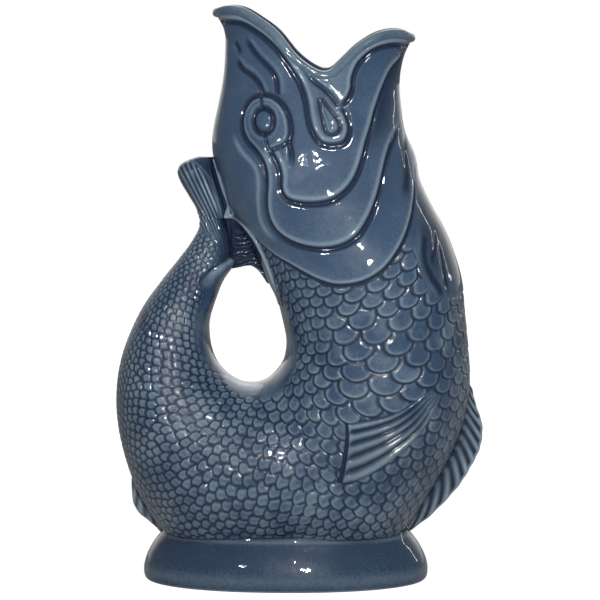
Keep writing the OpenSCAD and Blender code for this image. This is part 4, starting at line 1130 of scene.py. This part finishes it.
leaf = {
    "rows": [  # step, half width as a share of a turn, height share
        (13.3, 0.1, 0.1), (13.7, 0.15, 0.3), (14.2, 0.163, 0.5), (14.7, 0.155, 0.8), (15.3, 0.155, 1),
        (15.6, 0.218, 1), (15.93, 0.21, 1.2), (16.31, 0.176, 1.7), (16.62, 0.142, 2.2), (16.85, 0.09, 2.4),
        (17.05, 0.03, 1.6),
    ],
    "thick": 1.0, "least": 0.35,
    "sunk": 0.7,  # its rim lies this far inside the wall
}


def leafPiece():
    u = np.linspace(0, 1, 110)[:, None]  # up the tail
    v = np.linspace(-1, 1, 121)[None]
    r = curveShare(np.array(leaf["rows"]), u[:, 0])
    p = fishPoint(r[:, 0:1] + 0 * v, math.pi + 2 * math.pi * r[:, 1:2] * v)
    inner = 1 - np.abs(v)
    high = smoothStep((u - 0.45) / 0.3)
    rim = smoothStep(inner / (0.14 + 0.5 * (1 - high))) * smoothStep(u / 0.4) * smoothStep((1 - u) / 0.06)
    lift = rim * (leaf["least"] + leaf["thick"] * r[:, 2:3] * smoothStep(inner / 0.5))
    lift = lift - leaf["sunk"] * (1 - rim)
    # painted shade along the leaf's outline, where it meets the tail
    poolAndShade = 0.1 + 0.8 * bell(inner / 0.07) * high
    thinAndHighlight = 0.1 + high * (0.12 + 0.4 * bell((inner - 0.2) / 0.1)) * rim
    bm = gridMesh(p + gridNormals(p, (1, 0, 0)) * lift[..., None], {"poolAndShade": poolAndShade, "thinAndHighlight": thinAndHighlight})
    turnTowards(bm, (1, 0, 0))
    return bm


finishPiece("tailWeb", leafPiece(), "tail_web", [glazeBody])
print("fins and web laid on")


# Studio

studio = {  # places and sizes in m, as Blender has them
    "distance": 1.5, "high": 0.28, "target": (0, 0, 0.1292), "turn": 1.4,  # degrees round from the side view
    "lens": 195.92,  # mm
    "lamps": [  # name, place, what it points at, size in m, watts, height of a tall strip
        ("lampRight", (0.18, -1.75, 0.6), (0, 0, 0.13), 0.1, 12, None),
        ("lampMiddle", (0.07, -1.62, 0.93), (0, 0, 0.13), 0.03, 1.8, None),
        ("lampHigh", (0.3, -1.2, 1.4), (0, 0, 0.13), 0.1, 5, None),
        ("stripRight", (1.2, 0.8, 0.7), (0, 0, 0.15), 0.03, 0.9, 0.9),
        ("softboxBack", (0.1, 1.3, 0.9), (0, 0, 0.15), 1.1, 1.6, None),
    ],
    "spot": {"place": (-0.6, -1.6, 0.8), "aim": (0, 0, 0.165), "size": 0.05, "watts": 25, "cone": 9,
             "blend": 0.7},
    "roomDim": 0.14,  # what the glaze mirrors of the room in front of it
    "roomBright": 0.9,  # and of the backdrop behind it
    "paperSeen": 0.92,
    "floorHalf": 6.0,
}


def hang(name, data, place, aim):  # puts a camera or lamp in its place and points it
    thing = bpy.data.objects.new(name, data)
    bpy.context.collection.objects.link(thing)
    thing.location = place
    thing.rotation_mode = "QUATERNION"
    thing.rotation_quaternion = (Vector(aim) - thing.location).to_track_quat("-Z", "Y")
    return thing


cameraData = bpy.data.cameras.new("camera")
cameraData.lens = studio["lens"]
cameraData.sensor_width = 36
cameraData.clip_end = 50
turn = math.radians(studio["turn"])
stand = (studio["distance"] * math.sin(turn), -studio["distance"] * math.cos(turn), studio["high"])
bpy.context.scene.camera = hang("camera", cameraData, stand, studio["target"])

for name, place, aim, size, watts, high in studio["lamps"]:
    data = bpy.data.lights.new(name, "AREA")
    data.shape = "RECTANGLE" if high else "DISK"
    data.size = size
    if high:
        data.size_y = high
    data.energy = watts
    hang(name, data, place, aim)

spot = studio["spot"]
data = bpy.data.lights.new("lampLeft", "SPOT")
data.energy = spot["watts"]
data.shadow_soft_size = spot["size"]
data.spot_size = math.radians(spot["cone"])
data.spot_blend = spot["blend"]
hang("lampLeft", data, spot["place"], spot["aim"])

world = bpy.data.worlds.new("studioWorld")
bpy.context.scene.world = world
tree = emptyTree(world)
rays = addNode(tree, "ShaderNodeLightPath")
way = addNode(tree, "ShaderNodeTexCoord").outputs["Generated"]
split = addNode(tree, "ShaderNodeSeparateXYZ", None, {"Vector": way})
room = addNode(tree, "ShaderNodeMapRange",
               {"in:From Min": 0.66, "in:From Max": 0.98, "in:To Min": studio["roomDim"],
                "in:To Max": studio["roomBright"]}, {"Value": split.outputs["Y"]})
soft = addNode(tree, "ShaderNodeBackground", {"in:Color": (1, 1, 1, 1)}, {"Strength": room.outputs["Result"]})
white = addNode(tree, "ShaderNodeBackground", {"in:Color": (1, 1, 1, 1), "in:Strength": 1.0})
both = addNode(tree, "ShaderNodeMixShader", None, {"Fac": rays.outputs["Is Camera Ray"],
                                                  1: soft.outputs[0], 2: white.outputs[0]})
addNode(tree, "ShaderNodeOutputWorld", None, {"Surface": both.outputs[0]})


def floorMaterial():  # seamless white paper: seen as white, shaded only by the object's shadow
    mat = bpy.data.materials.new("whitePaper")
    tree = emptyTree(mat)
    rays = addNode(tree, "ShaderNodeLightPath")
    paper = addNode(tree, "ShaderNodeBsdfDiffuse", {"in:Color": (0.6, 0.6, 0.6, 1)})
    seen = addNode(tree, "ShaderNodeEmission", {"in:Color": (1, 1, 1, 1), "in:Strength": studio["paperSeen"]})
    addBoth = addNode(tree, "ShaderNodeAddShader", None, {0: paper.outputs[0], 1: seen.outputs[0]})
    mix = addNode(tree, "ShaderNodeMixShader", None, {"Fac": rays.outputs["Is Camera Ray"],
                                                     1: paper.outputs[0], 2: addBoth.outputs[0]})
    addNode(tree, "ShaderNodeOutputMaterial", None, {"Surface": mix.outputs[0]})
    return mat


bm = bmesh.new()
bmesh.ops.create_grid(bm, x_segments=1, y_segments=1, size=studio["floorHalf"])
floorMesh = bpy.data.meshes.new("floor")
bm.to_mesh(floorMesh)
bm.free()
floorMesh.materials.append(floorMaterial())
floor = bpy.data.objects.new("floor", floorMesh)
bpy.context.collection.objects.link(floor)
floor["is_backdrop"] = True
bpy.context.scene.view_settings.view_transform = "Standard"
print("studio set")

low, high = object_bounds()
